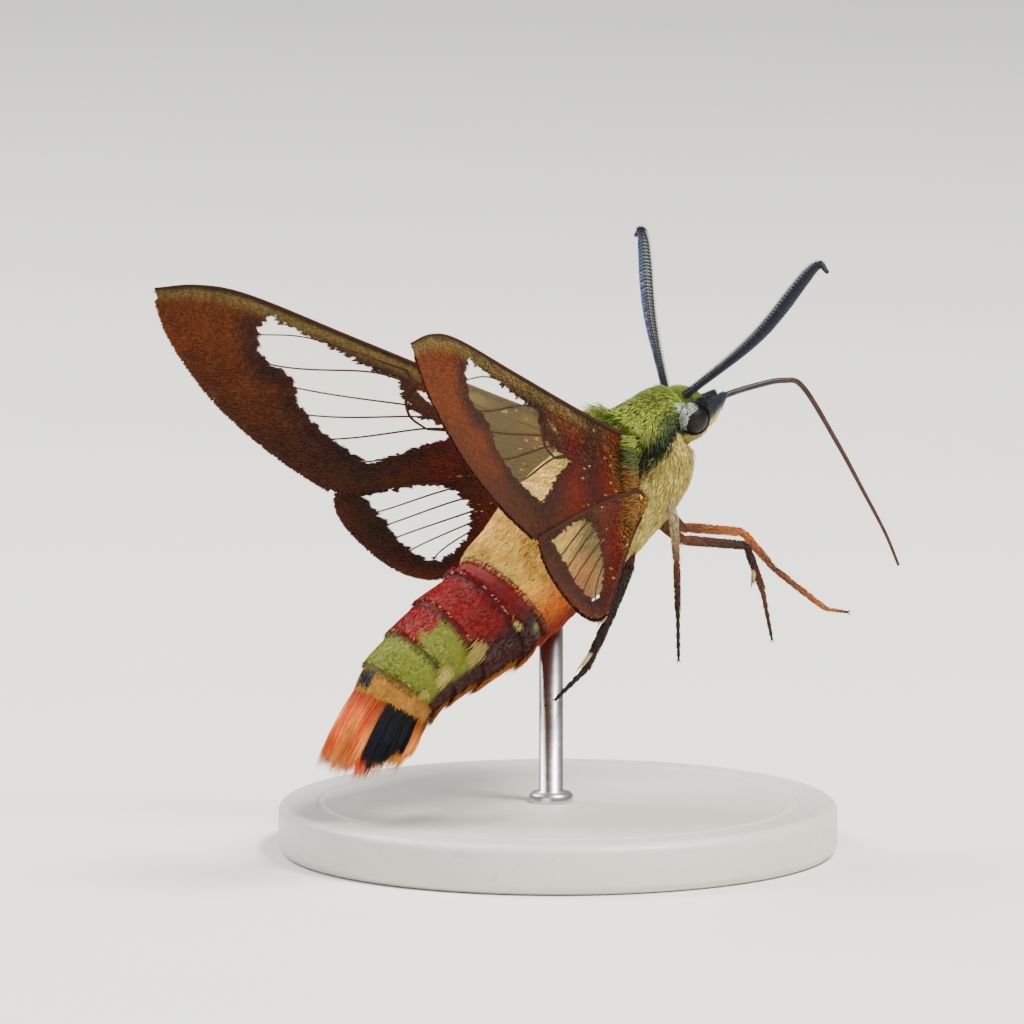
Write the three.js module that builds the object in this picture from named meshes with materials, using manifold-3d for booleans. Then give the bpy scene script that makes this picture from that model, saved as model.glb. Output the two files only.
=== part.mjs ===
import * as THREE from "three";
import { mergeVertices } from "three/addons/utils/BufferGeometryUtils.js";
import Module from "manifold-3d";

// Hummingbird clearwing moth, hovering on a display stand, at life size.
// Millimetres, +Z up. The head points to -Y and the moth's left side is +X.
// The origin is the middle of the underside of the stand's base.

const GAP = 0.3; // between neighbouring pieces

// Stand
const BASE_RADIUS = 14;
const BASE_HEIGHT = 2.5;
const BASE_BEVEL = 0.5;
const BASE_SIDES = 36;
const ROD_RADIUS = 0.6;
const ROD_Y = 0.4;

// The body's middle line from the neck to the root of the tail, with the coat's half width and half height.
const BODY = [
  { name: "neck", y: -5.95, z: 21.15, wide: 2.2, high: 2.5 },
  { name: "collar", y: -5.0, z: 19.6, wide: 3.3, high: 3.3 },
  { name: "wings", y: -2.8, z: 17.95, wide: 3.7, high: 3.75 },
  { name: "waist", y: -0.6, z: 16.2, wide: 3.85, high: 3.85 },
  { name: "loin", y: 1.6, z: 14.25, wide: 3.6, high: 3.4 },
  { name: "ring1", y: 3.3, z: 12.8, wide: 3.2, high: 3.0 },
  { name: "ring2", y: 4.25, z: 12.1, wide: 3.1, high: 2.9 },
  { name: "ring3", y: 6.35, z: 10.95, wide: 2.9, high: 2.7 },
  { name: "ring4", y: 7.9, z: 9.95, wide: 2.6, high: 2.4 },
  { name: "ring5", y: 9.15, z: 8.85, wide: 2.35, high: 2.25 },
  { name: "tail", y: 9.8, z: 7.8, wide: 2.1, high: 2.05 },
];
const BODY_SIDES = 16;
const COAT_DEPTH = 0.75; // from the core of chest and loin to the tips of their locks
const LINE_START = 0.001; // just inside the ends of the middle line, where its slope can be read
const LINE_END = 0.998;

// The rings of the abdomen behind the long-haired loin, each from one station to the next
const SEGMENT_BULGE = 0.05; // share of the radius by which each ring swells
const RINGS = [
  { node: "abdomen_2", from: "ring1", to: "ring2", steps: 3, colour: 0x5a1a1c },
  { node: "abdomen_3", from: "ring2", to: "ring3", steps: 4, colour: 0x4e171a },
  { node: "abdomen_4", from: "ring3", to: "ring4", steps: 4, colour: 0x6e5a2c },
  { node: "abdomen_5", from: "ring4", to: "ring5", steps: 4, colour: 0x7d7434 },
  { node: "abdomen_6", from: "ring5", to: "tail", steps: 3, colour: 0xb07a36 },
];

// Head
const HEAD = new THREE.Vector3(0, -7.2, 21.6);
const HEAD_PITCH = THREE.MathUtils.degToRad(24);
const HEAD_HALF = { wide: 1.5, long: 1.5, high: 1.2 };
const HEAD_LOCKS = [
  { forward: 1.0, angles: [55, 90, 125], length: 1.3 },
  { forward: 0.3, angles: [62, 90, 118], length: 1.4 },
  { forward: 0.7, angles: [235, 270, 305], length: 1.2 },
];
const EYE = new THREE.Vector3(1.4, -7.0, 21.5);
const EYE_RADIUS = 0.78;
const PALP = [[0.85, -7.5, 20.45], [0.87, -8.05, 21.3], [0.87, -8.5, 21.95], [0.8, -9.2, 22.35]]; // upwards
const PALP_HALF_WIDTHS = [0.3, 0.3, 0.28, 0.18]; // from root to tip
const PALP_HALF_HEIGHTS = [0.38, 0.42, 0.38, 0.2];

// Wings: the leading edge starts here, and both wings of a side lie in one plane.
const WING_ROOT = new THREE.Vector3(2.6, -2.83, 20.49);
const WING_ALONG = new THREE.Vector3(0.462, 0.824, 0.328).normalize();
const WING_CHORD = new THREE.Vector3(0.357, 0.166, -0.919).normalize();
const MEMBRANE = 0.5; // thickness
const VEIN_RISE = 0.22; // of each ridge above the membrane
const VEIN_SHARE = 0.02; // half a ridge's width, as a share of the way round the margin
const FOREWING = {
  lead: [[-1.6, -0.3], [4.4, -0.43], [12, -0.9], [18, -1.28], [20.6, -0.9], [22.6, 0]],
  margin: [[22.6, 0], [20.9, 2.25], [17.6, 4.7], [13.9, 6.3], [10.7, 7.15]],
  trail: [[-1.6, 2.3], [0.8, 2.5], [5.4, 4.5], [10.7, 7.15]],
  veins: [0.13, 0.27, 0.4, 0.53, 0.69, 0.86],
  camber: 0.5,
  steps: 9,
};
const HINDWING = {
  lead: [[-1.8, 2.7], [0.6, 2.95], [5.3, 5.08], [10.5, 7.55]],
  margin: [[10.5, 7.55], [9.7, 8.4], [8.2, 9.35], [6.4, 9.95], [4.8, 9.9], [3.7, 9.3]],
  trail: [[-1.8, 4.2], [0.3, 4.4], [1.9, 6.4], [3.7, 9.3]],
  veins: [0.2, 0.37, 0.52, 0.66, 0.83],
  camber: 0.2,
  steps: 6,
};

// Feelers, from the crown outwards and up
const ANTENNA_ROOT = new THREE.Vector3(0.85, -6.75, 22.5);
const ANTENNA_TIP = new THREE.Vector3(8.85, -10.0, 30.05);
const ANTENNA_BOW = 0.55; // sideways swing of its middle
const ANTENNA_HOOK = 0.75; // length of the bent tip
const ANTENNA_RADII = [0.25, 0.26, 0.31, 0.38, 0.43, 0.43, 0.38, 0.2]; // from root to tip

// The tongue's middle line from the mouth: [y, z]
const TONGUE = [[-8.0, 21.6], [-9.6, 22.3], [-11.4, 22.7], [-13.1, 22.88], [-14.3, 22.45],
  [-16.28, 19.56], [-17.9, 16.9], [-19.2, 14.7], [-20, 13]];
const TONGUE_RADIUS = 0.27;
const TONGUE_TIP_RADIUS = 0.16;
const TONGUE_CUTS = [0, 0.34, 0.68, 1]; // where its three lengths part, as shares of the whole
const TONGUE_GAP = 0.008; // half the gap between two lengths, as a share of the whole

// Legs, each from inside the chest to its claw: right legs have x below 0.
const LEG_SIDES = 6;
const LEG_STEPS = 3; // between two points of a leg's path
const LEG_BEND = 0.3; // how softly a leg turns at its joints: 0 is a sharp corner
const LEGS = {
  foreleg_right: {
    path: [[-1.9, -4.9, 18.6], [-2.7, -5.1, 16.7], [-2.75, -5.25, 14.6], [-2.7, -5.35, 12.1],
      [-2.7, -5.4, 9.6]],
    radii: [0.5, 0.4, 0.32, 0.3, 0.22],
  },
  foreleg_left: {
    path: [[1.2, -6.1, 17.4], [1.5, -8.0, 15.6], [1.5, -11.66, 15.1], [1.5, -13.5, 13.1], [1.5, -16.6, 10.8],
      [1.5, -17.9, 10.55]],
    radii: [0.5, 0.42, 0.36, 0.3, 0.27, 0.2],
  },
  midleg_right: {
    path: [[-1.1, -4.6, 16.9], [-1.25, -6.4, 15.4], [-1.3, -10.2, 14.85], [-1.3, -11.15, 12.5],
      [-1.3, -11.7, 10]],
    radii: [0.5, 0.48, 0.33, 0.3, 0.2],
  },
  midleg_left: {
    path: [[1.6, -4.5, 17.0], [2.6, -6.2, 15.0], [3.0, -4.3, 14.2], [3.2, -2.2, 13.1]],
    radii: [0.5, 0.42, 0.32, 0.22],
  },
  hindleg_right: {
    path: [[-1.5, -3.3, 16.4], [-2.05, -2.8, 14.3], [-2.2, -1.45, 11.5], [-2.2, -0.3, 9.4], [-2.0, 1.3, 8.0]],
    radii: [0.5, 0.45, 0.34, 0.3, 0.2],
  },
  hindleg_left: {
    path: [[1.8, -1.9, 15.4], [3.3, -0.7, 13.4], [3.85, 1.6, 11.4], [3.6, 4.2, 9.6]],
    radii: [0.5, 0.42, 0.32, 0.22],
  },
};

// Spurs at the shins' ends: which leg, how far along it, and the spur's length
const SPURS = [
  { leg: "hindleg_right", share: 0.42, length: 1.5 },
  { leg: "hindleg_right", share: 0.66, length: 1.7 },
  { leg: "hindleg_left", share: 0.62, length: 1.5 },
  { leg: "midleg_right", share: 0.66, length: 1.1 },
  { leg: "midleg_left", share: 0.66, length: 1.1 },
];
const SPUR_SIZE = { width: 0.52, thick: 0.5, rise: 0.1, sink: 0.15 };

// Locks of the coat. Each band covers a stretch of the body with rows of locks round it,
// and droop turns their tips down towards the belly.
const COAT = {
  thorax: { from: 0.015, to: 0.26, rows: 5, around: 10, length: 2.2, width: 1.8, thick: 0.55, droop: 0.12 },
  abdomen_1: { from: 0.32, to: 0.48, rows: 3, around: 10, length: 2.5, width: 1.8, thick: 0.55, droop: 0.05 },
};
const LOCK_SINK = 0.55; // how deep a root lies under the core's surface
const SLOPE_STEP = 0.02; // share of the body's line over which the slope under a lock is read

// Tufts of pale hair on both flanks, at the rear edge of three rings of the abdomen
const FLANK_TUFTS = [
  { node: "abdomen_2", station: "ring2", length: 0.9, locks: 2 },
  { node: "abdomen_3", station: "ring3", length: 1.3, locks: 3 },
  { node: "abdomen_4", station: "ring4", length: 1.3, locks: 3 },
];

// Tail: a brush of long vanes behind the last ring, parted into four tufts.
// In each row, up is the root's height above the middle line and length is the vane's.
const TAIL_SPLIT = 1.15; // half the width of the middle tufts
const TAIL_FLARE = 0.22; // how far a vane leans outwards for each millimetre that its root lies out
const TAIL_DROP = 0.05; // the same for the roots below the middle line, which hang straighter
const TAIL_CORE = 1.7; // how far the solid root of the brush reaches
const TAIL_TUFTS = {
  tail_centre: [
    { up: 0.3, across: [-0.4, 0.4], length: 3.8 },
    { up: 0.85, across: [-0.55, 0, 0.55], length: 4.1 },
    { up: 1.4, across: [-0.5, 0.05, 0.5], length: 4.0 },
    { up: 1.8, across: [-0.3, 0.3], length: 3.4 },
  ],
  tail_under: [
    { up: -0.65, across: [-0.5, 0, 0.5], length: 3.2 },
    { up: -1.15, across: [-0.45, 0.1, 0.5], length: 2.6 },
    { up: -1.6, across: [-0.3, 0.3], length: 1.8 },
  ],
  tail_side: [
    { up: -0.75, across: [1.6], length: 1.5 },
    { up: -0.4, across: [1.8], length: 2.1 },
    { up: 0, across: [1.65], length: 2.7 },
    { up: 0.4, across: [1.8], length: 3.2 },
    { up: 0.75, across: [1.6], length: 3.6 },
    { up: 1.1, across: [1.7], length: 3.4 },
  ],
};
const TAIL_SEAM = -0.2; // height of the cut between the centre and the under tuft
const VANE = { width: 1.1, thick: 0.5 };

const wasm = await Module();
wasm.setup();

const point = (x, y, z) => new THREE.Vector3(x, y, z);
const mirrored = (p) => point(-p.x, p.y, p.z);
const moved = (from, direction, distance) => from.clone().addScaledVector(direction, distance);

// A closed skin of points and triangles as a solid that faces out.
function solidFrom(points, triangles) {
  const build = (faces) =>
    new wasm.Manifold(
      new wasm.Mesh({
        numProp: 3,
        vertProperties: new Float32Array(points.flatMap((p) => [p.x, p.y, p.z])),
        triVerts: new Uint32Array(faces.flat()),
      }),
    );
  const made = build(triangles);
  return made.volume() > 0 ? made : build(triangles.map(([a, b, c]) => [a, c, b]));
}

// One of the closed geometries that come with three.js, as a solid.
function solidOf(geometry) {
  geometry.deleteAttribute("normal");
  geometry.deleteAttribute("uv");
  const shared = mergeVertices(geometry, 1e-4);
  const places = shared.getAttribute("position");
  const readPoint = (_, i) => point(0, 0, 0).fromBufferAttribute(places, i);
  const points = Array.from({ length: places.count }, readPoint);
  const corners = Array.from(shared.index.array);
  const triangles = [];
  for (let i = 0; i < corners.length; i += 3) {
    triangles.push(corners.slice(i, i + 3));
  }
  return solidFrom(points, triangles.filter(([a, b, c]) => a !== b && b !== c && a !== c));
}

// The largest closed body of a solid.
function largest(solid) {
  return solid.decompose().sort((a, b) => b.volume() - a.volume())[0];
}

function middle(ring) {
  return ring.reduce((sum, p) => sum.add(p), point(0, 0, 0)).divideScalar(ring.length);
}

// A solid through rings of points, closed at each end by a fan round one point.
function loft(rings, startPoint = middle(rings[0]), endPoint = middle(rings.at(-1))) {
  const sides = rings[0].length;
  const points = [...rings.flat(), startPoint, endPoint];
  const end = points.length - 1;
  const start = end - 1;
  const last = (rings.length - 1) * sides;
  const triangles = [];
  for (let side = 0; side < sides; side++) {
    const next = (side + 1) % sides;
    triangles.push([start, next, side], [end, last + side, last + next]);
    for (let near = 0; near < last; near += sides) {
      const far = near + sides;
      triangles.push([near + side, near + next, far + next], [near + side, far + next, far + side]);
    }
  }
  return solidFrom(points, triangles);
}

// An oval ring round a centre, with half sizes along two directions.
function oval(centre, across, halfAcross, up, halfUp, sides) {
  return Array.from({ length: sides }, (_, side) => {
    const angle = (side / sides) * 2 * Math.PI;
    return moved(moved(centre, across, halfAcross * Math.cos(angle)), up, halfUp * Math.sin(angle));
  });
}

// A round tube along a curve, with a radius for each share of its length.
function tube(curve, radiusAt, steps, sides) {
  const frames = curve.computeFrenetFrames(steps, false);
  const rings = frames.tangents.map((_, i) => {
    const radius = radiusAt(i / steps);
    return oval(curve.getPointAt(i / steps), frames.normals[i], radius, frames.binormals[i], radius, sides);
  });
  return loft(rings);
}

// A number read off an evenly spaced list at a share of its length.
function readAlong(values, share) {
  const place = share * (values.length - 1);
  const index = Math.min(Math.floor(place), values.length - 2);
  return THREE.MathUtils.lerp(values[index], values[index + 1], place - index);
}

// A number between -1 and 1 that is the same for the same seed on every run
function wobble(seed) {
  const wave = Math.sin(seed * 12.9898) * 43758.5453;
  return 2 * (wave - Math.floor(wave)) - 1;
}

// A flat, tapered lock or vane: its root is sunk below the surface, and it bends over along its lie.
function lock(root, outwards, lie, { length, width, thick, rise, sink = LOCK_SINK }) {
  const across = lie.clone().cross(outwards).normalize();
  const path = new THREE.QuadraticBezierCurve3(
    moved(root, outwards, -sink),
    moved(moved(root, outwards, rise), lie, 0.4 * length),
    moved(moved(root, outwards, 0.75 * rise), lie, length),
  );
  const profile = [
    { share: 0, wide: 0.7, thick: 0.9 },
    { share: 0.45, wide: 1, thick: 1 },
    { share: 0.8, wide: 0.72, thick: 0.8 },
  ];
  const rings = profile.map((at) => {
    const up = path.getTangent(at.share).cross(across).normalize();
    return oval(path.getPoint(at.share), across, (at.wide * width) / 2, up, (at.thick * thick) / 2, 4);
  });
  return loft(rings, undefined, path.getPoint(1));
}

// Body
const bodyLine = new THREE.CatmullRomCurve3(BODY.map((s) => point(0, s.y, s.z)));
const bodySize = new THREE.SplineCurve(BODY.map((s) => new THREE.Vector2(s.wide, s.high)));
const stationAt = (name) => BODY.findIndex((s) => s.name === name) / (BODY.length - 1);

// The body's section at a share of its line: its centre, its directions and its half sizes.
function bodyAt(share) {
  const tangent = bodyLine.getTangent(share);
  const size = bodySize.getPoint(share);
  return {
    centre: bodyLine.getPoint(share),
    tangent,
    up: point(0, -tangent.z, tangent.y),
    wide: size.x,
    high: size.y,
  };
}

// A share of the line that lies a distance in millimetres further on.
function further(share, distance) {
  const step = 0.002;
  const ahead = bodyLine.getPoint(share + step / 2).distanceTo(bodyLine.getPoint(share - step / 2));
  return share + (distance * step) / ahead;
}

// The body from one share of its line to another, thicker by grow all round.
function bodyLength(from, to, steps, grow, bulge) {
  const rings = [];
  for (let i = 0; i <= steps; i++) {
    const along = i / steps;
    const at = bodyAt(THREE.MathUtils.lerp(from, to, along));
    const swell = 1 + bulge * (Math.sin(Math.PI * along) - 0.5);
    const [wide, high] = [at.wide * swell + grow, at.high * swell + grow];
    rings.push(oval(at.centre, point(1, 0, 0), wide, at.up, high, BODY_SIDES));
  }
  return loft(rings);
}

const neck = stationAt("neck");
const waist = stationAt("waist");
const ring1 = stationAt("ring1");
const core = (from, to, steps, grow) => bodyLength(from, to, steps, grow - COAT_DEPTH, 0);
const chestCore = (grow) => core(LINE_START, further(waist, -GAP / 2), 9, grow);
const loinCore = (grow) => core(further(waist, GAP / 2), further(ring1, -GAP / 2), 6, grow);

// The direction out of the body at an angle that starts on its left and rises over its back.
function sideways(at, angle) {
  return moved(at.up.clone().multiplyScalar(Math.sin(angle)), point(1, 0, 0), Math.cos(angle));
}

// A place on the body at that angle, a depth below the tips of its coat.
function skinPlace(at, angle, depth) {
  const out = point((at.wide - depth) * Math.cos(angle), 0, 0);
  return moved(at.centre.clone().add(out), at.up, (at.high - depth) * Math.sin(angle));
}

// Rows of locks round a stretch of the body. Neighbouring rows are half a step apart.
function coatBand(seedStart, { from, to, rows, around, length, width, thick, droop }) {
  const locks = [];
  for (let row = 0; row < rows; row++) {
    const share = THREE.MathUtils.lerp(from, to, row / (rows - 1));
    const at = bodyAt(share);
    const ahead = bodyAt(share + SLOPE_STEP);
    for (let place = 0; place < around; place++) {
      const seed = seedStart + row * around + place;
      const angle = ((place + (row % 2) / 2 + 0.15 * wobble(seed)) / around) * 2 * Math.PI;
      const slope = skinPlace(ahead, angle, COAT_DEPTH).sub(skinPlace(at, angle, COAT_DEPTH)).normalize();
      const outwards = sideways(at, angle);
      outwards.addScaledVector(slope, -outwards.dot(slope)).normalize();
      const lie = moved(slope, at.up, -droop - 0.08 * wobble(seed + 0.3));
      lie.addScaledVector(outwards, -lie.dot(outwards)).normalize();
      const reach = length * (1 + 0.15 * wobble(seed + 0.6));
      const size = { length: reach, width, thick, rise: COAT_DEPTH - thick / 2 };
      locks.push(lock(skinPlace(at, angle, COAT_DEPTH), outwards, lie, size));
    }
  }
  return locks;
}

// One ring of the abdomen between two stations.
function abdomenRing(ring, grow) {
  const from = further(stationAt(ring.from), GAP / 2);
  const to = further(Math.min(stationAt(ring.to), LINE_END), -GAP / 2);
  return bodyLength(from, to, ring.steps, grow, SEGMENT_BULGE);
}

// The pale tufts at the rear edge of a ring, one fan of locks on each flank.
function flankTufts({ station, length, locks }) {
  const at = bodyAt(further(stationAt(station), -GAP - length / 4));
  const made = [];
  for (const side of [0, Math.PI]) {
    for (let i = 0; i < locks; i++) {
      const spread = i - (locks - 1) / 2;
      const angle = side + (side ? 1 : -1) * (0.25 + 0.18 * spread);
      const outwards = sideways(at, angle);
      const lie = moved(at.tangent, outwards, 0.12);
      const size = { length, width: 0.95, thick: 0.5, rise: 0.45 };
      made.push(lock(skinPlace(at, angle, 0.1), outwards, lie.normalize(), size));
    }
  }
  return made;
}

// Head, with a socket for each eye
function headSolid(grow) {
  const ball = new THREE.SphereGeometry(1, 14, 9);
  ball.scale(HEAD_HALF.wide + grow, HEAD_HALF.long + grow, HEAD_HALF.high + grow);
  ball.rotateX(-HEAD_PITCH);
  ball.translate(HEAD.x, HEAD.y, HEAD.z);
  return solidOf(ball);
}

// Locks on the crown and the throat, all lying back over the head
function headLocks() {
  const made = [];
  const back = point(0, Math.cos(HEAD_PITCH), -Math.sin(HEAD_PITCH));
  const up = point(0, Math.sin(HEAD_PITCH), Math.cos(HEAD_PITCH));
  for (const { forward, angles, length } of HEAD_LOCKS) {
    for (const degrees of angles) {
      const angle = THREE.MathUtils.degToRad(degrees);
      const girth = Math.sqrt(1 - (forward / HEAD_HALF.long) ** 2);
      const outwards = moved(up.clone().multiplyScalar(Math.sin(angle)), point(1, 0, 0), Math.cos(angle));
      const root = moved(moved(HEAD, back, -forward), up, HEAD_HALF.high * girth * Math.sin(angle));
      root.x = HEAD_HALF.wide * girth * Math.cos(angle);
      made.push(lock(root, outwards, back, { length, width: 0.75, thick: 0.5, rise: 0.3, sink: 0.4 }));
    }
  }
  return made;
}

function eyeSolid(side, grow) {
  const ball = new THREE.SphereGeometry(EYE_RADIUS + grow, 12, 9);
  ball.rotateZ(Math.PI / 2);
  ball.translate(side * EYE.x, EYE.y, EYE.z);
  return solidOf(ball);
}

function palpSolid(side, grow) {
  const path = new THREE.CatmullRomCurve3(PALP.map(([x, y, z]) => point(side * x, y, z)));
  const steps = 6;
  const rings = [];
  for (let i = 0; i <= steps; i++) {
    const share = i / steps;
    const tangent = path.getTangentAt(share);
    const across = point(1, 0, 0);
    const up = tangent.clone().cross(across).normalize();
    const halfWidth = readAlong(PALP_HALF_WIDTHS, share) + grow;
    const halfHeight = readAlong(PALP_HALF_HEIGHTS, share) + grow;
    rings.push(oval(path.getPointAt(share), across, halfWidth, up, halfHeight, 10));
  }
  return loft(rings);
}

// Feeler: thin at the root, club-shaped beyond the middle, with a bent tip
function antennaSolid(side, grow) {
  const outwards = point(ANTENNA_TIP.z - ANTENNA_ROOT.z, 0, ANTENNA_ROOT.x - ANTENNA_TIP.x).normalize();
  const chord = ANTENNA_TIP.clone().sub(ANTENNA_ROOT);
  const halfway = moved(ANTENNA_ROOT.clone().addScaledVector(chord, 0.5), outwards, ANTENNA_BOW);
  const shoulder = ANTENNA_ROOT.clone().addScaledVector(chord, 0.93);
  const hook = moved(ANTENNA_TIP, outwards, ANTENNA_HOOK);
  const path = new THREE.CatmullRomCurve3([ANTENNA_ROOT, halfway, shoulder, hook]);
  const placed = new THREE.CatmullRomCurve3(path.getSpacedPoints(16).map((p) => point(side * p.x, p.y, p.z)));
  return tube(placed, (share) => readAlong(ANTENNA_RADII, share) + grow, 15, 7);
}

// A length of the tongue, between two shares of its line
function tongueLength(from, to, grow) {
  const line = new THREE.CatmullRomCurve3(TONGUE.map(([y, z]) => point(0, y, z)));
  const steps = 8;
  const places = Array.from({ length: steps + 1 }, (_, i) => THREE.MathUtils.lerp(from, to, i / steps));
  const path = new THREE.CatmullRomCurve3(places.map((share) => line.getPointAt(share)));
  const radiusAt = (share) =>
    THREE.MathUtils.lerp(TONGUE_RADIUS, TONGUE_TIP_RADIUS, THREE.MathUtils.lerp(from, to, share) ** 2);
  return tube(path, (share) => radiusAt(share) + grow, steps, 7);
}

// Wings
const spline = (pairs) => new THREE.SplineCurve(pairs.map(([x, y]) => new THREE.Vector2(x, y)));

// The place in the wing's plane that lies a share out from the root and a share back from the leading edge.
function wingPlace(wing, out, back) {
  const lead = spline(wing.lead).getPointAt(out);
  const trail = spline(wing.trail).getPointAt(out);
  const margin = spline(wing.margin).getPointAt(back);
  const [leadRoot, leadEnd] = [wing.lead[0], wing.lead.at(-1)];
  const [trailRoot, trailEnd] = [wing.trail[0], wing.trail.at(-1)];
  const blend = (axis, key) => {
    const root = THREE.MathUtils.lerp(leadRoot[axis], trailRoot[axis], back);
    const end = THREE.MathUtils.lerp(leadEnd[axis], trailEnd[axis], back);
    const between = THREE.MathUtils.lerp(lead[key], trail[key], back);
    return between + THREE.MathUtils.lerp(root, margin[key], out) - THREE.MathUtils.lerp(root, end, out);
  };
  return [blend(0, "x"), blend(1, "y")];
}

// The ridges and hollows across a wing: where each line lies and how high it stands.
function wingLines(wing) {
  const lines = [
    { back: 0, rise: VEIN_RISE },
    { back: 1.5 * VEIN_SHARE, rise: 0 },
  ];
  for (const vein of wing.veins) {
    lines.push(
      { back: vein - VEIN_SHARE, rise: 0 },
      { back: vein, rise: VEIN_RISE },
      { back: vein + VEIN_SHARE, rise: 0 },
    );
  }
  lines.push({ back: 1, rise: 0 });
  return lines;
}

function wingSolid(wing, side, grow) {
  const lines = wingLines(wing);
  const normal = WING_ALONG.clone().cross(WING_CHORD).normalize();
  const columns = wing.steps + 1;
  const skin = (face) =>
    lines.flatMap((line) =>
      Array.from({ length: columns }, (_, column) => {
        const out = column / wing.steps;
        const [along, chord] = wingPlace(wing, out, line.back);
        const height = MEMBRANE / 2 + grow + line.rise * Math.min(1, 4 * (1 - out) + 0.3);
        const crown = wing.camber * Math.sin(Math.PI * line.back) * Math.sin(Math.PI * out);
        const place = moved(moved(WING_ROOT, WING_ALONG, along), WING_CHORD, chord);
        const raised = moved(place, normal, crown + face * height);
        return side > 0 ? raised : mirrored(raised);
      }),
    );
  const points = [...skin(1), ...skin(-1)];
  const count = lines.length * columns;
  const triangles = [];
  for (let row = 0; row < lines.length - 1; row++) {
    for (let column = 0; column < wing.steps; column++) {
      const a = row * columns + column;
      const b = a + columns;
      triangles.push([a, a + 1, b + 1], [a, b + 1, b]);
      triangles.push([count + a, count + b + 1, count + a + 1], [count + a, count + b, count + b + 1]);
    }
  }
  const rim = [];
  const lastRow = count - columns;
  for (let column = 0; column < wing.steps; column++) {
    rim.push(column);
  }
  for (let row = 0; row < lines.length - 1; row++) {
    rim.push(row * columns + wing.steps);
  }
  for (let column = wing.steps; column > 0; column--) {
    rim.push(lastRow + column);
  }
  for (let row = lines.length - 1; row > 0; row--) {
    rim.push(row * columns);
  }
  rim.forEach((from, i) => {
    const to = rim[(i + 1) % rim.length];
    triangles.push([to, from, count + from], [to, count + from, count + to]);
  });
  return solidFrom(points, triangles);
}

// Legs
const legCurve = ({ path }) =>
  new THREE.CatmullRomCurve3(path.map((p) => point(...p)), false, "catmullrom", LEG_BEND);

function legSolid({ path, radii }, grow) {
  const curve = legCurve({ path });
  const lengths = curve.getLengths(200);
  const shares = path.map((_, i) => lengths[Math.round((200 * i) / (path.length - 1))] / lengths[200]);
  const radiusAt = (share) => {
    const index = Math.min(shares.findLastIndex((s) => s <= share + 1e-9), path.length - 2);
    const within = (share - shares[index]) / (shares[index + 1] - shares[index]);
    return THREE.MathUtils.lerp(radii[index], radii[index + 1], Math.min(within, 1)) + grow;
  };
  return tube(curve, radiusAt, LEG_STEPS * (path.length - 1), LEG_SIDES);
}

// A leg's spurs: spines that leave the shin backwards and down.
function legSpurs(name) {
  return SPURS.filter((spur) => spur.leg === name).map(({ share, length }) => {
    const curve = legCurve(LEGS[name]);
    const place = curve.getPoint(share);
    const lie = moved(curve.getTangent(share), point(0, 1, -0.3), 0.55).normalize();
    return lock(place, point(0, 1, 0), lie, { length, ...SPUR_SIZE });
  });
}

// Tail: the brush's middle line goes straight on from the last ring.
const tailEnd = bodyAt(LINE_END);

// The solid root of the brush, a cone behind the last ring
function brushCore() {
  const rings = [GAP / 2, TAIL_CORE / 2, TAIL_CORE].map((reach) => {
    const scale = 0.97 - (0.45 * reach) / TAIL_CORE;
    const centre = moved(tailEnd.centre, tailEnd.tangent, reach);
    return oval(centre, point(1, 0, 0), tailEnd.wide * scale, tailEnd.up, tailEnd.high * scale, BODY_SIDES);
  });
  return loft(rings);
}

// The vanes of one tuft: side is 0 for the middle tufts, and 1 or -1 for those of the flanks.
function tuftVanes(rows, side) {
  return rows.flatMap(({ up, across, length }, row) =>
    across.map((offset, i) => {
      const x = side ? side * offset : offset;
      const base = moved(moved(tailEnd.centre, point(1, 0, 0), x), tailEnd.up, up);
      const root = moved(base, tailEnd.tangent, 2 * GAP);
      const lift = (up > 0 ? TAIL_FLARE : TAIL_DROP) * up;
      const lie = moved(moved(tailEnd.tangent, point(1, 0, 0), TAIL_FLARE * x), tailEnd.up, lift);
      const outwards = side ? point(side, 0, 0) : tailEnd.up.clone().multiplyScalar(Math.sign(up));
      const reach = length * (1 + 0.05 * wobble(row * 5 + i));
      return lock(root, outwards, lie.normalize(), { length: reach, ...VANE, rise: 0.15, sink: 0.1 });
    }),
  );
}

// Stand
function standBase() {
  const profile = [
    [0, 0],
    [BASE_RADIUS - BASE_BEVEL, 0],
    [BASE_RADIUS, BASE_BEVEL],
    [BASE_RADIUS, BASE_HEIGHT - BASE_BEVEL],
    [BASE_RADIUS - BASE_BEVEL, BASE_HEIGHT],
    [0, BASE_HEIGHT],
  ];
  const turned = new THREE.LatheGeometry(profile.map(([r, h]) => new THREE.Vector2(r, h)), BASE_SIDES);
  turned.rotateX(Math.PI / 2);
  return solidOf(turned);
}

function standRod(grow) {
  const bottom = BASE_HEIGHT + GAP;
  const top = bodyLine.getPoint(waist).z;
  const turned = new THREE.CylinderGeometry(ROD_RADIUS + grow, ROD_RADIUS + grow, top - bottom, 16);
  turned.rotateX(Math.PI / 2);
  turned.translate(0, ROD_Y, (top + bottom) / 2);
  return solidOf(turned);
}

const model = new THREE.Group();

function addPiece(name, solid, colour, roughness, metalness = 0) {
  const mesh = largest(solid).getMesh();
  const geometry = new THREE.BufferGeometry();
  geometry.setAttribute("position", new THREE.BufferAttribute(new Float32Array(mesh.vertProperties), 3));
  geometry.setIndex(new THREE.BufferAttribute(new Uint32Array(mesh.triVerts), 1));
  geometry.computeVertexNormals();
  const material = new THREE.MeshStandardMaterial({ color: colour, roughness, metalness });
  const piece = new THREE.Mesh(geometry, material);
  piece.name = name;
  model.add(piece);
}

const sides = { left: 1, right: -1 };
const union = (solids) => solids.reduce((whole, solid) => whole.add(solid));
const without = (solid, cuts) => cuts.reduce((left, cut) => left.subtract(cut), solid);

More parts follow.
